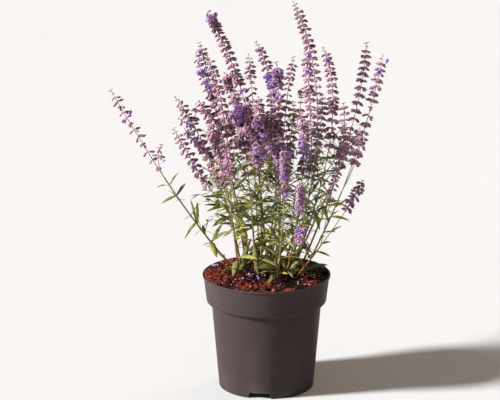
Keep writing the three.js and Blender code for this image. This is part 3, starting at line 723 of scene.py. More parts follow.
class Whorl:
    """A ring of calyces around a stem, and how the photograph shows it"""

    def __init__(self, route, distance, part, size, turn):
        self.centre = route.at(distance)
        self.heading, self.across, self.depth = route.frame(distance)
        self.part = part
        self.reach = size * (1 - WHORL["shrinking"] * part**4)
        self.turn = turn
        self.pixel = pixel_of(self.centre)
        self.lilac = within(self.pixel, LILAC_SPOTS)
        self.dense = within(self.pixel, DENSE_SPOTS)
        # Whether light or shade is painted onto the calyces of this whorl
        self.pale = within(self.pixel, PAINTED_LIGHT_SPOTS)
        self.painted_shade = within(self.pixel, PAINTED_SHADE_SPOTS)
        self.sparse = False
        self.open_flowers = 0

    def out(self, turn):
        return around(self.across, self.depth, turn)


def plan_spike(shoot, route, spike, size, first_turn):
    """Whorls that stand closer and shorter towards the tip, each turned by half a space. Where the
    spikes are dense, one more stands between two of them."""
    spacing, stature = SPIKE_HABIT.get(shoot.name, (1, 1))
    count = 2 * max(2, round(spike / (WHORL["pitch"] * spacing)))
    for index in range(count + 1):
        part = index / count
        crowded = part * (1 + WHORL["crowding"] * (1 - part))
        distance = route.length - spike + (spike - WHORL["bare_tip"]) * crowded
        turn = first_turn - index * FULL_TURN / 12
        whorl = Whorl(route, distance, part, size * stature, turn)
        whorl.sparse = shoot.name in SPARSE_SHOOTS or within(whorl.pixel, SPARSE_SPOTS)
        one_more = whorl.dense and part < DENSE_UP_TO and not whorl.sparse
        if index % 2 == 0 or one_more:
            shoot.whorls.append(whorl)


def plan_spray(shoot):
    """The whorls of the main and the side spike, of their branchlets, and of the side spikes that are seen"""
    _, across, depth = shoot.main.frame(shoot.fork)
    away = shoot.side.heading(0)
    turn = math.atan2(np.dot(away, depth), np.dot(away, across))
    plan_spike(shoot, shoot.main, shoot.spike, WHORL_SIZE["main"], turn)
    plan_spike(shoot, shoot.side, shoot.side_spike, WHORL_SIZE["side"], turn + FULL_TURN / 6)
    plan_branchlets(shoot, shoot.main, shoot.main.length - shoot.spike)
    plan_branchlets(shoot, shoot.side, shoot.side.length - shoot.side_spike)
    for foot_pixel, tip_pixel in SIDE_SPIKES.get(shoot.name, ()):
        foot = place_on(shoot.main, foot_pixel)
        tip = seen_at(tip_pixel, foot[1] - SIDE_SPIKE["forward"])
        line = Route(foot, (foot + tip) / 2 - (SIDE_SPIKE["bow"], 0, 0), tip)
        shoot.branchlets.append(line)
        plan_spike(shoot, line, SIDE_SPIKE["whorled"] * line.length, WHORL_SIZE["branchlet"], turn)


def plan_branchlets(shoot, route, spike_start):
    """Short flowering branches in opposite pairs, where the photograph is bushy"""
    draw = seeded_draws(shoot.seed + SEED["branchlets"])
    turn = FULL_TURN * draw()
    start = spike_start - BRANCHLET["below"] + BRANCHLET["first_spread"] * draw()
    distance = max(BRANCHLET["lowest"], start)
    while distance < route.length - BRANCHLET["length"][1]:
        heading, across, depth = route.frame(distance)
        bushy = within(pixel_of(route.at(distance)), BUSHY_SPOTS)
        for side in (0, math.pi) if bushy else ():
            out = around(across, depth, turn + side)
            aim = around(out, heading, BRANCHLET["steepness"])
            length = partway(BRANCHLET["length"], draw())
            line = branch(route.at(distance), aim, out, length, BRANCHLET["bow"])
            shoot.branchlets.append(line)
            spike = line.length * (1 - BRANCHLET["bare"])
            plan_spike(shoot, line, spike, WHORL_SIZE["branchlet"], turn)
        turn += math.pi / 2
        distance += BRANCHLET["spacing"] * (0.8 + 0.4 * draw())


def plan_open_flowers(shoots):
    """Opens flowers where the photograph shows them, two where it is lilac, and a few at the back"""
    whorls = [whorl for shoot in shoots for whorl in shoot.whorls if whorl.part < TIP_FROM]
    seen = np.array([whorl.pixel for whorl in whorls])
    behind = np.array([whorl.centre[1] for whorl in whorls]) / BACK_PER_PIXEL
    for spot in OPEN_FLOWERS:
        nearest = int(np.argmin(np.linalg.norm(seen - spot, axis=1) + behind))
        whorls[nearest].open_flowers += 2 if whorls[nearest].lilac else 1
    draw = seeded_draws(SEED["finish"])
    for whorl in whorls:
        if whorl.centre[1] > BACK_FLOWERS["depth"] and draw() < BACK_FLOWERS["share"]:
            whorl.open_flowers -= 1


# Shader sums: an expression on sockets adds the Math nodes that it needs


def math_method(operation, swapped=False):
    """A method that joins two numbers by a Math node"""

    def method(self, other):
        first, second = (other, self) if swapped else (self, other)
        return self.sum(operation, first, second)

    return method


class Shade:
    """A number that varies over a surface"""

    def __init__(self, board, socket):
        self.board = board
        self.socket = socket

    def sum(self, operation, first, second=0.0):
        return self.board.node("ShaderNodeMath", {"operation": operation}, {0: first, 1: second})

    __add__ = math_method("ADD")
    __radd__ = math_method("ADD", swapped=True)
    __sub__ = math_method("SUBTRACT")
    __rsub__ = math_method("SUBTRACT", swapped=True)
    __mul__ = math_method("MULTIPLY")
    __rmul__ = math_method("MULTIPLY", swapped=True)
    __pow__ = math_method("POWER")

    def __abs__(self):
        return self.sum("ABSOLUTE", self)

    def wave(self):
        return self.sum("SINE", self)

    def between(self, low, high):
        """0 below low, 1 above high, and smooth between"""
        settings = {"interpolation_type": "SMOOTHSTEP"}
        inputs = {"Value": self, "From Min": low, "From Max": high}
        return self.board.node("ShaderNodeMapRange", settings, inputs)


class Board:
    """The node tree of one material"""

    def __init__(self, name):
        self.material = bpy.data.materials.new(name)
        self.material.use_nodes = True
        self.tree = self.material.node_tree
        self.surface = self.tree.nodes["Principled BSDF"]
        self.place = self.node("ShaderNodeTexCoord", output="Object")

    def node(self, kind, settings=None, inputs=None, output=0):
        """Adds a node, with its settings and what its inputs hold or are fed by, as one of its outputs"""
        made = self.tree.nodes.new(kind)
        for setting, value in (settings or {}).items():
            if setting == "stops":
                self.set_stops(made.color_ramp, value)
            else:
                setattr(made, setting, value)
        for socket, value in (inputs or {}).items():
            self.feed(made.inputs[socket], value)
        return Shade(self, made.outputs[output])

    def feed(self, socket, value):
        if isinstance(value, Shade):
            self.tree.links.new(value.socket, socket)
        else:
            socket.default_value = value

    def set_stops(self, ramp, stops):
        while len(ramp.elements) < len(stops):
            ramp.elements.new(0.5)
        for element, (position, colour) in zip(ramp.elements, stops):
            element.position = position
            element.color = (*colour, 1)

    def axis(self, name):
        """How far a place lies along X, Y or Z, in metres"""
        return self.node("ShaderNodeSeparateXYZ", None, {"Vector": self.place}, output=name)

    def marks(self, *names):
        """Numbers that the mesh itself holds"""
        return [self.node("ShaderNodeAttribute", {"attribute_name": name}, output="Fac") for name in names]

    def noise(self, scale, detail):
        """Noise of one scale, or stretched by a scale for each axis"""
        place = self.place
        if isinstance(scale, tuple):
            place = self.node("ShaderNodeVectorMath", {"operation": "MULTIPLY"}, {0: place, 1: scale})
            scale = 1
        return self.node("ShaderNodeTexNoise", None, {"Vector": place, "Scale": scale, "Detail": detail})

    def ramp(self, value, stops):
        return self.node("ShaderNodeValToRGB", {"stops": stops}, {"Fac": value})

    def mix(self, share, first, second):
        first, second = (c if isinstance(c, Shade) else (*c, 1) for c in (first, second))
        inputs = {0: share, 6: first, 7: second}
        return self.node("ShaderNodeMix", {"data_type": "RGBA"}, inputs, output=2)

    def finish(self, colour, roughness, height, strength, depth, **constants):
        """Feeds the surface, and raises its height as a bump of a depth in metres"""
        inputs = {"Strength": strength, "Distance": depth, "Height": height}
        self.feed(self.surface.inputs["Base Color"], colour)
        self.feed(self.surface.inputs["Roughness"], roughness)
        self.feed(self.surface.inputs["Normal"], self.node("ShaderNodeBump", None, inputs))
        for socket, value in constants.items():
            self.surface.inputs[socket.replace("_", " ")].default_value = value
        return self.material


# The colours of rosy and of lilac calyces, dark to light; the undersides take painted shade from the dark end
# and the tops take painted light from the light end
ROSY_CALYX = [
    (0.0, (0.13, 0.034, 0.058)),
    (0.4, (0.255, 0.09, 0.138)),
    (0.75, (0.37, 0.168, 0.237)),
    (1.0, (0.5, 0.32, 0.385)),
]
LILAC_CALYX = [
    (0.0, (0.14, 0.04, 0.13)),
    (0.4, (0.275, 0.105, 0.255)),
    (0.75, (0.41, 0.2, 0.4)),
    (1.0, (0.6, 0.4, 0.59)),
]

# How far light spreads inside the thin tissue of a calyx
THIN_CALYX = {"Subsurface_Weight": 0.6, "Subsurface_Radius": (1, 0.6, 0.8), "Subsurface_Scale": 0.003}


def pot_plastic():
    """Taupe moulded plastic, satin, with flow marks, dust low down and soil splashed at the rim"""
    board = Board("pot_plastic")
    height = board.axis("Z")
    cloud = board.noise(14, 4)
    flow = board.noise((30, 30, 5), 3)
    speckle = board.noise(900, 2)
    scratches = board.noise((60, 60, 900), 4)
    body = board.mix(cloud.between(0.35, 0.7), (0.0435, 0.0305, 0.03), (0.052, 0.0378, 0.0374))
    body = board.mix(flow.between(0.45, 0.8) * 0.3, body, (0.066, 0.051, 0.049))
    dust = (1 - height.between(0.002, 0.03)) * board.noise(45, 5).between(0.42, 0.72)
    splash = height.between(0.144, 0.155) * board.noise(120, 4).between(0.5, 0.7)
    body = board.mix(dust * 0.3, body, (0.13, 0.105, 0.09))
    body = board.mix(splash * 0.4, body, (0.11, 0.075, 0.06))
    roughness = 0.44 + 0.14 * cloud + 0.2 * dust + 0.05 * scratches
    relief = 0.6 * speckle + 0.4 * scratches
    return board.finish(body, roughness, relief, strength=0.12, depth=0.0004, Specular_IOR_Level=0.1)


def rusty_patches(board):
    """Where the soil is rusty red, more of it on the left as painted light and less on the right as painted
    shade
    """
    right = board.axis("X")
    # Pulling towards the left paints light on the lit side of the soil and shade on its right
    return (board.noise(27, 2) - right * 0.9).between(0.42, 0.56)


def peat():
    """Dark crumbly peat with rusty fibre in it"""
    board = Board("peat")
    crumbs = board.noise(420, 5)
    rust = rusty_patches(board)
    stops = [(0.3, (0.008, 0.003, 0.0025)), (0.55, (0.04, 0.011, 0.007)), (0.8, (0.11, 0.024, 0.013))]
    # Rust patches, more on the left as painted light and fewer on the right as painted shade
    colour = board.mix(rust * 0.8, board.ramp(crumbs, stops), (0.17, 0.027, 0.013))
    roughness = 0.75 + 0.2 * crumbs
    return board.finish(colour, roughness, crumbs, strength=0.9, depth=0.002, Specular_IOR_Level=0.12)


def bark():
    """Chips of bark: from near black over rust to a few fresh orange ones, with a grain along each chip"""
    board = Board("bark_chip")
    (tone,) = board.marks("tone")
    grain = board.noise((700, 260, 500), 4)
    rust_and_painted_light_share = rusty_patches(board)
    stops = [
        (0.0, (0.008, 0.0025, 0.002)),
        (0.38, (0.034, 0.006, 0.004)),
        (0.62, (0.16, 0.021, 0.011)),
        (0.88, (0.27, 0.038, 0.019)),
        (1.0, (0.41, 0.1, 0.058)),
    ]
    # More rust towards the left is painted light; near black towards the right is painted shade
    shade = tone * (0.32 + 0.35 * rust_and_painted_light_share) + 0.32 * rust_and_painted_light_share
    colour = board.mix(grain.between(0.35, 0.75) * 0.5, board.ramp(shade, stops), (0.03, 0.008, 0.005))
    return board.finish(colour, 0.5 + 0.35 * grain, grain, strength=0.7, depth=0.0012, Specular_IOR_Level=0.2)


def perlite():
    """White crumbly grains, a little dusty"""
    board = Board("perlite_grain")
    pores = board.noise(900, 3)
    dirt = board.noise(260, 3).between(0.5, 0.7)
    colour = board.mix(dirt * 0.7, (0.5, 0.4, 0.37), (0.25, 0.14, 0.1))
    return board.finish(colour, 0.7 + 0.2 * pores, pores, strength=0.8, depth=0.001)


def stem_bark():
    """Woody red-brown at the soil, then olive green, with fine ribs along the stem"""
    board = Board("leafy_stem")
    height = board.axis("Z")
    patches = board.noise(70, 4)
    ribs = board.noise((1400, 1400, 60), 3)
    woody = board.mix(patches, (0.13, 0.038, 0.017), (0.38, 0.125, 0.055))
    green = board.mix(patches, (0.13, 0.14, 0.04), (0.3, 0.3, 0.12))
    grown = (height + 0.07 * patches).between(0.19, 0.27)
    colour = board.mix(grown, woody, green)
    roughness = 0.55 + 0.15 * patches
    return board.finish(colour, roughness, ribs, strength=0.4, depth=0.0005, Specular_IOR_Level=0.35)


def flower_stem():
    """Grey-mauve stem of a spike, pale and mealy, greener lower down"""
    board = Board("flower_stem")
    height = board.axis("Z")
    meal = board.noise(650, 3)
    patches = board.noise(60, 3)
    mauve = board.mix(meal, (0.2, 0.1, 0.13), (0.42, 0.28, 0.33))
    green = board.mix(meal, (0.15, 0.17, 0.07), (0.32, 0.33, 0.18))
    colour = board.mix((height + 0.1 * patches).between(0.26, 0.4), green, mauve)
    return board.finish(colour, 0.8 + 0.1 * meal, meal, strength=0.5, depth=0.0004, Sheen_Weight=0.2)


def leaf_green():
    """Olive green with a pale midrib and side veins, paler when young; old ones turn yellow, and rusty at
    the tip"""
    board = Board("sage_leaf")
    along, across, tone, youth, age = board.marks("along", "across", "tone", "youth", "age")
    across = abs(across)
    blotches = board.noise(180, 4)
    midrib = 1 - across.between(0.03, 0.14)
    veins = ((along * 58 - across * 13).wave() * 0.5 + 0.5) ** 5 * across.between(0.05, 0.3)
    stops = [(0.0, (0.024, 0.026, 0.004)), (0.5, (0.15, 0.145, 0.022)), (1.0, (0.47, 0.425, 0.07))]
    fresh = board.mix(blotches.between(0.4, 0.75) * 0.4, board.ramp(tone, stops), (0.1, 0.105, 0.02))
    fresh = board.mix(youth * 0.45, fresh, (0.24, 0.24, 0.07))
    fresh = board.mix(board.noise(38, 2).between(0.45, 0.6) * 0.35, fresh, (0.11, 0.145, 0.04))
    aged = (tone + 0.35 * along + 0.4 * blotches - 0.3).between(0.6, 1.2) * age
    fresh = board.mix(aged * 0.7, fresh, (0.5, 0.36, 0.04))
    tip = (along + 0.25 * blotches).between(0.96, 1.12) * age * tone.between(0.4, 0.8)
    fresh = board.mix(tip, fresh, (0.45, 0.11, 0.02))
    colour = board.mix(midrib * 0.45 + veins * 0.2, fresh, (0.37, 0.365, 0.11))
    relief = 0.7 * veins - 0.9 * midrib + 0.4 * blotches
    roughness = 0.46 + 0.2 * blotches
    return board.finish(colour, roughness, relief, strength=0.5, depth=0.0005, Specular_IOR_Level=0.3)


def calyx_wool():
    """Dusty mauve wool, plum to rosy or lilac, with painted shade on the underside and painted light on the
    top, sandy at the foot, darkened at the mouth as painted shade, and grey-green when young"""
    board = Board("calyx_wool")
    along, painted_light_and_shade, tone, youth, lilac = board.marks("along", "across", "tone", "youth", "lilac")
    wool = board.noise(1300, 4)
    patches = board.noise(240, 3)
    # The across mark is high on the top of a calyx and low below it, so it adds painted light on top and
    # painted shade underneath
    shade = tone * 0.75 + wool * 0.5 + painted_light_and_shade * 0.2 + along * 0.1 - 0.24
    colour = board.mix(lilac, board.ramp(shade, ROSY_CALYX), board.ramp(shade, LILAC_CALYX))
    foot = (1 - along.between(0.02, 0.35)) * 0.5
    colour = board.mix(foot, colour, (0.28, 0.19, 0.15))
    colour = board.mix(patches.between(0.5, 0.75) * 0.25, colour, (0.2, 0.06, 0.14))
    # Painted shade: darker towards the open mouth
    colour = board.mix(along.between(0.6, 1.0) * 0.6, colour, (0.08, 0.02, 0.033))
    colour = board.mix(youth * 0.85, colour, (0.21, 0.2, 0.15))
    roughness = 0.85 + 0.1 * wool
    return board.finish(colour, roughness, wool, strength=0.8, depth=0.0007, Sheen_Weight=0.35, **THIN_CALYX)


def petal(name):
    """Thin violet-blue petals, pale in the throat and veined towards the lobes"""
    board = Board(name)
    along, tone = board.marks("along", "tone")
    streaks = board.noise((900, 900, 500), 3)
    stops = [
        (0.0, (0.58, 0.44, 0.66)),
        (0.45, (0.4, 0.19, 0.62)),
        (0.8, (0.29, 0.1, 0.53)),
        (1.0, (0.43, 0.22, 0.66)),
    ]
    colour = board.ramp(along + 0.25 * streaks - 0.12, stops)
    colour = board.mix(tone * 0.6, colour, (0.58, 0.4, 0.76))
    roughness = 0.55 + 0.15 * streaks
    return board.finish(colour, roughness, streaks, strength=0.35, depth=0.0003, Sheen_Weight=0.15)


# Meshes: blanks that are stamped into a piece many times over, and the pieces


def add_marks(body, values=None):
    """Gives every vertex its marks; values works out along and across from a vertex's place"""
    layers = [body.verts.layers.float.new(mark) for mark in MARKS]
    for vertex in body.verts:
        for layer, value in zip(layers, values(vertex.co) if values else (0, 0)):
            vertex[layer] = value


def blank_from(body, name, material=0):
    """Keeps a finished body as a blank, with its faces outwards and one of its piece's materials"""
    bmesh.ops.recalc_face_normals(body, faces=body.faces)
    for face in body.faces:
        face.material_index = material
        face.smooth = True
    blank = bpy.data.meshes.new(name)
    body.to_mesh(blank)
    body.free()
    return blank


def stamp(body, blank, place, **marks):
    """Adds a copy of a blank at a place, with its own marks"""
    copy = blank.copy()
    copy.transform(place)
    join(body, copy, marks)


def join(body, copy, marks):
    """Sets the marks on a copy of a blank, and moves it into a body"""
    for mark, value in marks.items():
        copy.attributes[mark].data.foreach_set("value", [value] * len(copy.vertices))
    body.from_mesh(copy)
    bpy.data.meshes.remove(copy)


def add_piece(name, mesh, materials, replaced=()):
    """Moves a mesh into the part's frame and makes it a piece that stands for the nodes it replaces"""
    mesh.transform(INTO_PART)
    for material in materials:
        mesh.materials.append(material)
    piece = bpy.data.objects.new(name, mesh)
    bpy.context.scene.collection.objects.link(piece)
    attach(piece, "root")
    if replaced:
        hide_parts(*replaced)


def mesh_from(body, name):
    """Ends a body as a mesh"""
    mesh = bpy.data.meshes.new(name)
    body.to_mesh(mesh)
    body.free()
    return mesh


def only(kind, items):
    return [item for item in items if isinstance(item, kind)]


def grow_tube(body, sides, profile, open_ends=False):
    """Extrudes a circle up +Z through a profile of height and radius, and returns the last ring"""
    (height, radius), *rest = profile
    circle = {"cap_ends": not open_ends, "segments": sides, "radius": radius}
    ring = bmesh.ops.create_circle(body, matrix=Matrix.Translation((0, 0, height)), **circle)["verts"]
    rim = list(dict.fromkeys(edge for vertex in ring for edge in vertex.link_edges))
    for next_height, next_radius in rest:
        grown = bmesh.ops.extrude_edge_only(body, edges=rim)["geom"]
        ring = only(bmesh.types.BMVert, grown)
        rim = [edge for edge in only(bmesh.types.BMEdge, grown) if all(end in ring for end in edge.verts)]
        wider = next_radius / radius
        bmesh.ops.scale(body, verts=ring, vec=(wider, wider, 1))
        bmesh.ops.translate(body, verts=ring, vec=(0, 0, next_height - height))
        height, radius = next_height, next_radius
    if not open_ends:
        bmesh.ops.contextual_create(body, geom=rim)
    return ring


def add_spike(body, foot, tip, radius):
    """A hair or fibre: a thin three-sided spike from a closed foot to a point"""
    facing = Vector(tip - foot).to_track_quat("Z", "Y").to_matrix().to_4x4()
    place = Matrix.Translation(foot) @ facing
    ring = bmesh.ops.create_circle(body, cap_ends=True, segments=3, radius=radius, matrix=place)["verts"]
    point = body.verts.new(tip)
    for first, second in ((0, 1), (1, 2), (2, 0)):
        body.faces.new((ring[first], ring[second], point))


def turned(outline, steps):
    """A body of radius and height turned about +Z, with the poles closed"""
    body = bmesh.new()
    corners = [body.verts.new((radius, 0, z)) for radius, z in outline]
    edges = [body.edges.new(pair) for pair in zip(corners, corners[1:])]
    spin = {"cent": (0, 0, 0), "axis": (0, 0, 1), "angle": FULL_TURN, "steps": steps, "use_merge": True}
    bmesh.ops.spin(body, geom=corners + edges, **spin)
    bmesh.ops.remove_doubles(body, verts=body.verts, dist=0.001)
    bmesh.ops.recalc_face_normals(body, faces=body.faces)
    return body


def round_edges(body, smallest_angle, offset, segments):
    """Rounds the outward edges at which faces meet at more than an angle"""
    outward = [edge for edge in body.edges if edge.is_manifold and edge.is_convex]
    sharp = [edge for edge in outward if edge.calc_face_angle() > smallest_angle]
    settings = {"offset": offset, "segments": segments, "affect": "EDGES", "profile": 0.5, "material": -1}
    bmesh.ops.bevel(body, geom=sharp, **settings)


def pot_cutters():
    """Three tapered blocks across the foot ring and a ring of drain holes, as one body"""
    cutters = bmesh.new()
    for index in range(NOTCH["count"]):
        turn = math.radians(NOTCH["first_turn"] + 360 * index / NOTCH["count"] - 90)
        block = bmesh.ops.create_cube(cutters, size=1)["verts"]
        for corner in block:
            width = NOTCH["top"] if corner.co.z > 0 else 2 * NOTCH["bottom"] - NOTCH["top"]
            corner.co.x *= width
        bmesh.ops.scale(cutters, verts=block, vec=(1, NOTCH["depth"], 2 * NOTCH["height"]))
        bmesh.ops.translate(cutters, verts=block, vec=(0, FOOT_RADIUS - 2, 0))
        bmesh.ops.rotate(cutters, verts=block, cent=(0, 0, 0), matrix=Matrix.Rotation(turn, 3, "Z"))
    for index in range(DRAIN["count"]):
        turn = FULL_TURN * index / DRAIN["count"]
        middle = (*on_circle(DRAIN["ring"], turn), FLOOR_TOP)
        sizes = {"segments": 24, "radius1": DRAIN["radius"], "radius2": DRAIN["radius"], "depth": FLOOR_TOP}
        bmesh.ops.create_cone(cutters, cap_ends=True, matrix=Matrix.Translation(middle), **sizes)
    bmesh.ops.recalc_face_normals(cutters, faces=cutters.faces)
    return cutters


def cut(mesh, cutters):
    """The mesh without what the cutters take away"""
    body = bpy.data.objects.new("uncut", mesh)
    tool = bpy.data.objects.new("cutters", mesh_from(cutters, "cutters"))
    for thing in (body, tool):
        bpy.context.scene.collection.objects.link(thing)
    modifier = body.modifiers.new("cut", "BOOLEAN")
    modifier.operation = "DIFFERENCE"
    modifier.solver = "EXACT"
    modifier.object = tool
    result = bpy.data.meshes.new_from_object(body.evaluated_get(bpy.context.evaluated_depsgraph_get()))
    for thing in (body, tool):
        bpy.data.objects.remove(thing)
    return result


def build_pot():
    underside = [(0, FOOT_RECESS), (FOOT_INNER_RADIUS, FOOT_RECESS), (FOOT_INNER_RADIUS, 0)]
    outside = [(FOOT_RADIUS, 0), BODY_TOP, COLLAR_UNDERSIDE, COLLAR_FOOT, COLLAR_TOP]
    lip = [LIP_FOOT, LIP_UNDERSIDE, (LIP_RADIUS, POT_HEIGHT), (LIP_INNER_RADIUS, POT_HEIGHT)]
    inside = [WALL_TOP, *WALL_STEP, FLOOR_EDGE, (0, FLOOR_TOP)]
    shell = turned(underside + outside + lip + inside, ROUND_STEPS)
    round_edges(shell, smallest_angle=math.radians(15), offset=0.6, segments=3)
    bmesh.ops.recalc_face_normals(shell, faces=shell.faces)
    mesh = cut(mesh_from(shell, "pot_shell"), pot_cutters())
    mesh.materials.clear()
    mesh.shade_smooth()
    mesh.set_sharp_from_angle(angle=math.radians(32))
    add_piece("nursery_pot", mesh, [pot_plastic()], ["pot"])


def soil_height(x, y):
    """The mound of the soil, a little higher on the left, with its crumbs heaped on it up to the wall"""
    radius = math.hypot(x, y) / SOIL_EDGE[0]
    crumbs = noise.fractal(Vector((x, y, 0)) / 9, 0.9, 2.1, 4) * CRUMB_HEIGHT
    mound = SOIL_MOUND * (1 - radius**2) - SOIL_SLOPE * x / SOIL_EDGE[0]
    return SOIL_EDGE[1] + SOIL_HEAP + mound + crumbs * min(1, 6 * (1 - radius) + 0.15)


def wall_radius(height):
    """The inner radius of the pot's wall near its lip"""
    radius, bottom = WALL_TOP
    return float(np.interp(height, (bottom, POT_HEIGHT), (radius, LIP_INNER_RADIUS)))


def build_soil_bed():
    """A disc of fine rings on a plain foot, raised to the soil's height and spread to the wall"""
    edge, height = SOIL_EDGE
    rings = [(edge * (1 - index / SOIL_RINGS), height) for index in range(SOIL_RINGS + 1)]
    bed = turned([(0, SOIL_FOOT_Z), (edge - 1.2, SOIL_FOOT_Z)] + rings, SOIL_ROUND_STEPS)
    for vertex in bed.verts:
        if vertex.co.z > SOIL_FOOT_Z + 1:
            vertex.co.z = soil_height(vertex.co.x, vertex.co.y)
            radius = math.hypot(vertex.co.x, vertex.co.y)
            if radius > edge - 1:
                vertex.co.xy *= (wall_radius(vertex.co.z) - 0.15) / radius
    bmesh.ops.recalc_face_normals(bed, faces=bed.faces)
    mesh = mesh_from(bed, "soil_bed")
    mesh.shade_smooth()
    add_piece("soil_bed", mesh, [peat()], ["soil"])


def chip_blank(index, draw):
    """A splinter of bark: a block with a middle ring, its corners drawn in and shifted"""
    chip = bmesh.new()
    bmesh.ops.create_cube(chip, size=1)
    bmesh.ops.subdivide_edges(chip, edges=chip.edges, cuts=1, use_grid_fill=True)
    for vertex in chip.verts:
        ends = 1 - 0.7 * abs(2 * vertex.co.x) ** 1.6
        vertex.co.y *= ends
        vertex.co.z *= ends
        vertex.co += Vector((0.3 * (draw() - 0.5), 0.4 * (draw() - 0.5), 0.3 * (draw() - 0.5)))
    add_marks(chip)
    blank = blank_from(chip, f"chip_{index}")
    for face in blank.polygons:
        face.use_smooth = False
    return blank


def soil_spot(draw, margin):
    """A place on the soil, spread evenly, that keeps a margin from the pot's wall"""
    radius = (SOIL_SPREAD - margin) * draw() ** 0.5
    return on_circle(radius, FULL_TURN * draw())


def lying(x, y, height, draw, tilt, size):
    """A place on the soil for something that lies there, turned anyhow and a little tilted"""
    turns = Matrix.Rotation(FULL_TURN * draw(), 4, "Z") @ Matrix.Rotation(tilt * (2 * draw() - 1), 4, "Y")
    turns = turns @ Matrix.Rotation(tilt * (2 * draw() - 1), 4, "X")
    return Matrix.Translation((x, y, soil_height(x, y) + height)) @ turns @ Matrix.Diagonal((*size, 1))


def build_chips():
    draw = seeded_draws(SOIL_SEED)
    blanks = [chip_blank(index, draw) for index in range(CHIP["kinds"])]
    litter = bmesh.new()
    for index in range(CHIP["count"]):
        length = partway(CHIP["length"], draw() ** 3)
        size = (length, partway(CHIP["width"], draw()), partway(CHIP["thickness"], draw()))
        x, y = soil_spot(draw, length / 2 + 0.2)
        weathered = draw() < CHIP["weathered"]
        tone = draw() * CHIP["weathered_tone"] if weathered else CHIP["fresh_tone"]
        place = lying(x, y, 1.1 * draw(), draw, CHIP["tilt"], size)
        stamp(litter, blanks[index % len(blanks)], place, tone=tone)
    add_fibres(litter, draw)
    add_piece("bark_chips", mesh_from(litter, "bark_chips"), [bark()])


def add_fibres(litter, draw):
    """Thin fibres of bark that lie across the chips"""
    for _ in range(FIBRE["count"]):
        x, y = soil_spot(draw, FIBRE["margin"])
        turn = FULL_TURN * draw()
        length = partway(FIBRE["length"], draw())
        foot = Vector((x, y, soil_height(x, y) + 0.6))
        tip = foot + Vector((*on_circle(length, turn), FIBRE["rise"] * draw()))
        if math.hypot(tip.x, tip.y) < SOIL_EDGE[0] - 2:
            add_spike(litter, foot, tip, FIBRE["radius"])


def build_perlite():
    draw = seeded_draws(LITTER_SEED)
    grain = bmesh.new()
    bmesh.ops.create_icosphere(grain, subdivisions=2, radius=0.5)
    for vertex in grain.verts:
        vertex.co *= 0.8 + 0.4 * draw()
    add_marks(grain)
    blank = blank_from(grain, "perlite_grain")
    scatter = bmesh.new()
    for _ in range(GRAIN["count"]):
        size = partway(GRAIN["size"], draw() ** 1.5)
        x, y = soil_spot(draw, GRAIN["margin"] + size)
        stamp(scatter, blank, lying(x, y, 1.3 + 0.2 * size, draw, 1, (size, size, size * 0.8)))
    add_piece("perlite_grains", mesh_from(scatter, "perlite_grains"), [perlite()])


def strip_marks(place):
    """How far along and across a flat strip a place lies, from 0 to 1 and from -1 to 1"""
    return place.x + 0.5, 2 * place.y


def fallen_blank():
    """A fallen petal: a small cupped strip with rounded ends"""
    strip = bmesh.new()
    bmesh.ops.create_grid(strip, x_segments=4, y_segments=2, size=0.5)
    bmesh.ops.solidify(strip, geom=strip.faces[:], thickness=0.07)
    for vertex in strip.verts:
        vertex.co.y *= math.sqrt(max(0.05, 1 - (1.7 * vertex.co.x) ** 2))
        vertex.co.z += 0.9 * vertex.co.y**2 + 0.5 * vertex.co.x**2
    add_marks(strip, strip_marks)
    return blank_from(strip, "fallen_petal")


def build_fallen_petals():
    """Petals that lie scattered on the soil, and together where flowers came down whole"""
    draw = seeded_draws(LITTER_SEED + 1)
    blank = fallen_blank()
    scatter = bmesh.new()
    spots = [soil_spot(draw, PETAL["margin"]) for _ in range(PETAL["count"])]
    for (x, y), (width, depth), count in FALLEN_FLOWERS:
        spots.extend((x + width * draw(), y + depth * draw()) for _ in range(count))
    for x, y in spots:
        size = (partway(PETAL["length"], draw()), partway(PETAL["width"], draw()), 2)
        place = lying(x, y, 2, draw, PETAL["tilt"], size)
        stamp(scatter, blank, place, tone=0.4 + 0.6 * draw())
    mesh = mesh_from(scatter, "fallen_petals")
    add_piece("fallen_petals", mesh, [petal("fallen_petal")])


def leaf_blank(rows):
    """A flat lance-shaped blade with a waved edge, in shares of its length and half width"""
    thickness, narrow_row, fold_height = 0.45, 0.86, 0.75
    blade = bmesh.new()
    bmesh.ops.create_grid(blade, x_segments=rows, y_segments=2, size=0.5)
    bmesh.ops.solidify(blade, geom=blade.faces[:], thickness=thickness)
    add_marks(blade, strip_marks)
    for vertex in blade.verts:
        along = vertex.co.x + 0.5
        wave = 1 if round(along * rows) % 2 else narrow_row
        belly = max(0.1 * (1 - along), math.sin(math.pi * along**0.8) ** 0.85)
        across = 2 * vertex.co.y
        fold = fold_height * abs(across) * belly
        vertex.co = (along, across * belly * wave, vertex.co.z + fold)
    return blank_from(blade, "leaf", material=1)


def lay_leaf(body, blank, leaf, tone, youth, age, wave_turn):
    """Bends a blank leaf along a leaf's line and adds it to a body"""
    blade = blank.copy()
    sections = {}
    for vertex in blade.vertices:
        along, across, lift = vertex.co
        row = round(along, 4)
        if row not in sections:
            sections[row] = leaf.section(along)
        middle, side, up = sections[row]
        flutter = 0.05 * leaf.width * across * math.sin(9 * along + wave_turn)
        height = lift * leaf.width / 8 + flutter
        vertex.co = middle + side * (across * leaf.width / 2) + up * height
    join(body, blade, {"tone": tone, "youth": youth, "age": age})


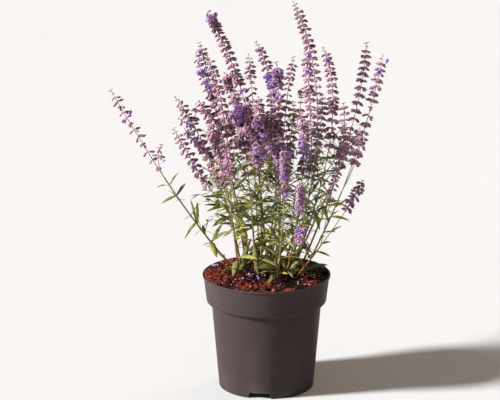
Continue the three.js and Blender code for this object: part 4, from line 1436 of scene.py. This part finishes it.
def stems_mesh(name, stems):
    """Round stems along rows of places and radii, as one mesh with closed ends"""
    line = bpy.data.curves.new(name, "CURVE")
    line.dimensions = "3D"
    line.bevel_depth = 1
    line.bevel_resolution = 1
    line.use_fill_caps = True
    for stem in stems:
        spline = line.splines.new("POLY")
        spline.points.add(len(stem) - 1)
        for point, (place, radius) in zip(spline.points, stem):
            point.co = (*place, 1)
            point.radius = radius
    holder = bpy.data.objects.new(name, line)
    bpy.context.scene.collection.objects.link(holder)
    mesh = bpy.data.meshes.new_from_object(holder.evaluated_get(bpy.context.evaluated_depsgraph_get()))
    bpy.data.objects.remove(holder)
    for face in mesh.polygons:
        face.use_smooth = True
    for mark in MARKS:
        mesh.attributes.new(mark, "FLOAT", "POINT")
    return mesh


def leafy_stem_line(shoot):
    """The stem from below the soil to the fork, thicker at each pair of leaves"""
    marks = {distance: 1 for distance in np.arange(-1, shoot.fork, STEM_STEP)}
    for pair in shoot.pairs:
        marks.update({pair - 2.2: 1, pair: 1.35, pair + 2.2: 1})
    line = []
    for distance in sorted(marks):
        radius = marks[distance] * partway(STEM_RADIUS, distance / shoot.fork)
        line.append((shoot.main.at(distance), radius))
    return line


def thin_stem_line(route, start, foot, tip):
    """A stem that thins evenly from a start to the end of its route"""
    run = route.length - start
    distances = np.linspace(start, route.length - 1, max(4, round(run / STEM_STEP)))
    return [(route.at(distance), foot + (tip - foot) * (distance - start) / run) for distance in distances]


def add_pair_leaves(body, blank, shoot, draw):
    """The leaves of the pairs, broader and older low down, but not where the photograph is bare"""
    for leaf in shoot.leaves:
        if within(pixel_of(leaf.at(0.7)), BARE_SPOTS):
            continue
        high = min(1, (leaf.foot[2] - ROOT_Z) / 130)
        leaf.width *= 0.95 - 0.25 * high
        tone = min(1, 0.8 * draw() + 0.3 * (1 - high) * draw())
        lay_leaf(body, blank, leaf, tone, 0, 1 - high, FULL_TURN * draw())


def add_broad_leaves(body, blank, shoot, draw):
    for foot, tip, forward, width, age in BROAD_LEAVES.get(shoot.name, ()):
        leaf = broad_leaf(shoot, foot, tip, forward, width, 0.5 * (draw() - 0.5))
        lay_leaf(body, blank, leaf, 0.3 + 0.6 * draw() + 0.3 * age, 0, age, FULL_TURN * draw())


def add_tufts(body, blank, shoot, draw):
    """Two small young leaves where each pair leaves the stem"""
    for distance in shoot.pairs:
        heading, across, depth = shoot.main.frame(distance)
        for _ in range(2):
            out = around(across, depth, FULL_TURN * draw())
            tuft = twig_leaf(shoot.main.at(distance), heading, out, 0.55, draw)
            if abs(tuft.at(1)[1]) < PLANT_DEPTH:
                lay_leaf(body, blank, tuft, draw(), 1, 0, 0)


def build_leafy_stem(shoot, large, small, materials):
    draw = seeded_draws(shoot.seed + SEED["finish"])
    body = bmesh.new()
    radius = TWIG["radius"]
    lines = [thin_stem_line(line, 0, radius, 0.6 * radius) for line, _ in shoot.twigs]
    body.from_mesh(stems_mesh("stem_" + shoot.name, [leafy_stem_line(shoot), *lines]))
    add_pair_leaves(body, large, shoot, draw)
    add_broad_leaves(body, large, shoot, draw)
    for _, leaves in shoot.twigs:
        for leaf in leaves:
            lay_leaf(body, small, leaf, draw(), 0.5 * draw(), 0, FULL_TURN * draw())
    add_tufts(body, small, shoot, draw)
    name = "leafy_stem_" + shoot.name
    add_piece("sage_" + name, mesh_from(body, name), materials, [name])


def bend_down(body, rise, sag):
    """Lays a body that stands along +Z over to +X and bends it into an arch"""
    for vertex in body.verts:
        side, across, out = vertex.co
        slope = math.atan(rise - 2 * sag * out)
        middle = rise * out - sag * out * out
        vertex.co = (out + side * math.sin(slope), across, middle - side * math.cos(slope))


def calyx_blank(name, profile, sides, hair_count, seed):
    """A ribbed woolly tube with a stalk, arching outwards from the stem"""
    draw = seeded_draws(seed)
    calyx = bmesh.new()
    grow_tube(calyx, sides, profile)
    heights, radii = zip(*profile)
    longest, widest = max(heights), max(radii)
    for vertex in calyx.verts:
        vertex.co.z -= 0.35 * vertex.co.x * (vertex.co.z > 0.8 * longest)
    for _ in range(hair_count):
        height = 1.6 + (longest - 1.7) * draw()
        out = Vector((*on_circle(1, FULL_TURN * draw()), 0))
        foot = out * (0.82 * float(np.interp(height, heights[:-1], radii[:-1]))) + Vector((0, 0, height))
        tip = foot + out * (0.75 + 0.4 * draw()) + Vector((0, 0, 0.5 * draw()))
        add_spike(calyx, foot, tip, HAIR_RADIUS)
    # Across runs from the calyx's underside up to its top once it is bent down; the calyx material paints
    # shade and light by it
    add_marks(calyx, lambda place: (min(1, place.z / longest), -place.x / widest))
    bend_down(calyx, rise=0.42, sag=0.095)
    return blank_from(calyx, name, material=1)


def corolla_blank():
    """An open flower: a flaring tube with five lobes and two stamens"""
    flower = bmesh.new()
    for vertex in grow_tube(flower, 20, COROLLA, open_ends=True):
        lobe = math.cos(5 * math.atan2(vertex.co.y, vertex.co.x))
        spread = 0.92 + 0.08 * lobe - 0.4 * max(0, -lobe)
        lip = 1.25 if vertex.co.x > 2 else 1
        vertex.co = (vertex.co.x * spread * lip, vertex.co.y * spread, vertex.co.z - 1.2 * (lip - 1) * 4)
    bmesh.ops.recalc_face_normals(flower, faces=flower.faces)
    bmesh.ops.solidify(flower, geom=flower.faces[:], thickness=0.2)
    for side in (-0.5, 0.5):
        add_spike(flower, Vector((-0.4, side, 3)), Vector((-1.2, 1.6 * side, 9)), 0.16)
    add_marks(flower, lambda place: (min(1, place.z / 7), 0))
    bmesh.ops.rotate(flower, verts=flower.verts, cent=(0, 0, 0), matrix=Matrix.Rotation(math.pi / 2, 3, "Y"))
    return blank_from(flower, "corolla", material=2)


def flower_blanks():
    """The calyces, the bud and the open flower that whorls are made of"""
    return {
        "calyces": [
            calyx_blank("calyx_wide", WIDE_CALYX, sides=6, hair_count=6, seed=19),
            calyx_blank("calyx_slim", SLIM_CALYX, sides=6, hair_count=6, seed=23),
            calyx_blank("calyx_wide_too", WIDE_CALYX, sides=6, hair_count=6, seed=29),
        ],
        "bud": calyx_blank("calyx_bud", CALYX_BUD, sides=5, hair_count=4, seed=31),
        "corolla": corolla_blank(),
    }


def facing(place, out, up, size):
    """Places something so that its x points out and its z as near up as it can"""
    out = unit(out)
    side = unit(np.cross(up, out))
    turn = Matrix(np.column_stack((out, side, np.cross(out, side))).tolist()).to_4x4()
    return Matrix.Translation(place) @ turn @ Matrix.Scale(size, 4)


def calyces_in_cyme(whorl, draw):
    """How many calyces stand together: one at the tip, two or more lower down"""
    if whorl.part > TIP_FROM:
        return 1
    if whorl.sparse or whorl.part > FEW_CALYCES_FROM:
        return 1 + (draw() < 0.75)
    return 2 + (draw() < 0.8) + (whorl.dense and draw() < 0.4)


def youth_of(whorl):
    """How young a whorl is, from 0 to 1 at the tip of a spike"""
    if within(whorl.pixel, YOUNG_SPOTS):
        return 0.8
    return 0 if whorl.dense else max(0, (whorl.part - YOUNG_FROM) / (1 - YOUNG_FROM))


def calyx_tone(whorl, draw):
    """How light a calyx is, drawn from the lighter half where light is painted on its spike, and darker where
    shade is painted
    """
    tone = draw()
    if whorl.pale:
        return 0.5 + 0.5 * tone
    return 0.7 * tone if whorl.painted_shade else tone


def add_calyx(body, whorl, blanks, turn, young, draw):
    """Adds a calyx that points out at a turn, and returns its foot, the way it points and its size"""
    out = whorl.out(turn)
    lift = 0.2 * (2 * draw() - 1) + 0.35 * young - 0.05
    aim = around(out, whorl.heading, lift)
    size = whorl.reach * (0.78 + 0.3 * draw()) * (1 - 0.25 * young)
    foot = whorl.centre + whorl.heading * 1.4 * (draw() - 0.5) + out * 0.25
    blank = blanks["bud"] if young > 0.5 else blanks["calyces"][int(3 * draw()) % 3]
    lilac = 0.35 + 0.65 * draw() if whorl.lilac else 0.45 * draw() ** 2
    place = facing(foot, aim, whorl.heading, size)
    stamp(body, blank, place, tone=calyx_tone(whorl, draw), youth=young, lilac=lilac)
    return foot, aim, size


def add_open_flowers(body, whorl, corolla, calyces, draw):
    """Opens the foremost calyces of a whorl, or the hindmost where the count is below 0"""
    forward = -1 if whorl.open_flowers < 0 else 1
    calyces.sort(key=lambda calyx: forward * calyx[1][1])
    for foot, aim, size in calyces[: abs(whorl.open_flowers)]:
        throat = foot + aim * THROAT_HEIGHT * size - whorl.heading * 0.3
        place = facing(throat, aim - whorl.heading * 0.2, whorl.heading, 0.85 + 0.3 * draw())
        if abs(throat[1] + FLOWER_REACH * aim[1]) < PLANT_DEPTH:
            stamp(body, corolla, place, tone=draw() * 0.8)


def add_whorl(body, whorl, blanks, draw):
    """Cymes of calyces around the stem, fewer and younger at the tip, some with open flowers"""
    young = youth_of(whorl)
    cymes = 3 if whorl.part < FEW_CYMES_FROM and not whorl.sparse else 2
    calyces = []
    for cyme in range(cymes):
        count = calyces_in_cyme(whorl, draw)
        for index in range(count):
            swing = (index - (count - 1) / 2) * 1.5 / count + 0.3 * (draw() - 0.5)
            turn = whorl.turn + cyme * FULL_TURN / cymes + swing
            calyces.append(add_calyx(body, whorl, blanks, turn, young, draw))
    add_open_flowers(body, whorl, blanks["corolla"], calyces, draw)


def build_spray(shoot, blanks, materials):
    draw = seeded_draws(shoot.seed + SEED["finish"] + 7)
    body = bmesh.new()
    foot, tip = FLOWER_STEM_RADIUS
    lines = [thin_stem_line(shoot.main, shoot.fork - FORK_BELOW, foot, tip)]
    lines.append(thin_stem_line(shoot.side, 0, foot, tip))
    lines.extend(thin_stem_line(line, 0, 0.75 * foot, tip) for line in shoot.branchlets)
    body.from_mesh(stems_mesh("spikes_" + shoot.name, lines))
    for whorl in shoot.whorls:
        add_whorl(body, whorl, blanks, draw)
    name = "flower_spray_" + shoot.name
    add_piece("sage_" + name, mesh_from(body, name), materials, [name])


def build_plant():
    shoots = [Shoot(index, row) for index, row in enumerate(SHOOT_TABLE)]
    crowd = Crowd()
    for shoot in shoots:
        crowd.add_shoot(shoot)
    for shoot in shoots:
        plan_leaves(shoot, crowd)
        plan_spray(shoot)
        plan_twigs(shoot)
    plan_open_flowers(shoots)
    large, small = leaf_blank(9), leaf_blank(5)
    blanks = flower_blanks()
    leafy_materials = [stem_bark(), leaf_green()]
    spray_materials = [flower_stem(), calyx_wool(), petal("open_flower")]
    for shoot in shoots:
        build_leafy_stem(shoot, large, small, leafy_materials)
        build_spray(shoot, blanks, spray_materials)


# The studio: a pale floor, the lights and the camera


def build_floor():
    """A plate that only the picture needs"""
    board = Board("studio_floor")
    mottle = board.noise(3, 2)
    colour = board.mix(mottle, *FLOOR_COLOURS)
    board.finish(colour, 0.8, mottle, strength=0.02, depth=0.001)
    plate = bmesh.new()
    bmesh.ops.create_grid(plate, x_segments=1, y_segments=1, size=FLOOR_REACH)
    floor = bpy.data.objects.new("studio_floor", mesh_from(plate, "studio_floor"))
    floor.data.materials.append(board.material)
    bpy.context.scene.collection.objects.link(floor)


def add_sun(name, strength, softness, height, turn, colour):
    lamp = bpy.data.lights.new(name, "SUN")
    lamp.energy = strength
    lamp.color = colour
    lamp.angle = math.radians(softness)
    sun = bpy.data.objects.new(name, lamp)
    sun.rotation_euler = (math.radians(90 - height), 0, math.radians(-turn))
    bpy.context.scene.collection.objects.link(sun)


def add_sky():
    world = bpy.data.worlds.new("studio")
    world.use_nodes = True
    sky = world.node_tree.nodes["Background"]
    sky.inputs["Color"].default_value = SKY_COLOUR
    sky.inputs["Strength"].default_value = SKY_STRENGTH
    bpy.context.scene.world = world


def add_camera():
    lens = bpy.data.cameras.new("camera")
    lens.lens = CAMERA_LENS
    lens.sensor_width = SENSOR_WIDTH
    lens.clip_end = FARTHEST_SEEN
    camera = bpy.data.objects.new("camera", lens)
    camera.location = CAMERA_PLACE
    camera.rotation_euler = (math.radians(90 - CAMERA_PITCH), 0, 0)
    bpy.context.scene.collection.objects.link(camera)
    bpy.context.scene.camera = camera


def build_studio():
    build_floor()
    for sun in SUNS:
        add_sun(*sun)
    add_sky()
    add_camera()
    bpy.context.scene.view_settings.view_transform = "Standard"


build_studio()
build_pot()
build_soil_bed()
build_chips()
build_perlite()
build_fallen_petals()
build_plant()
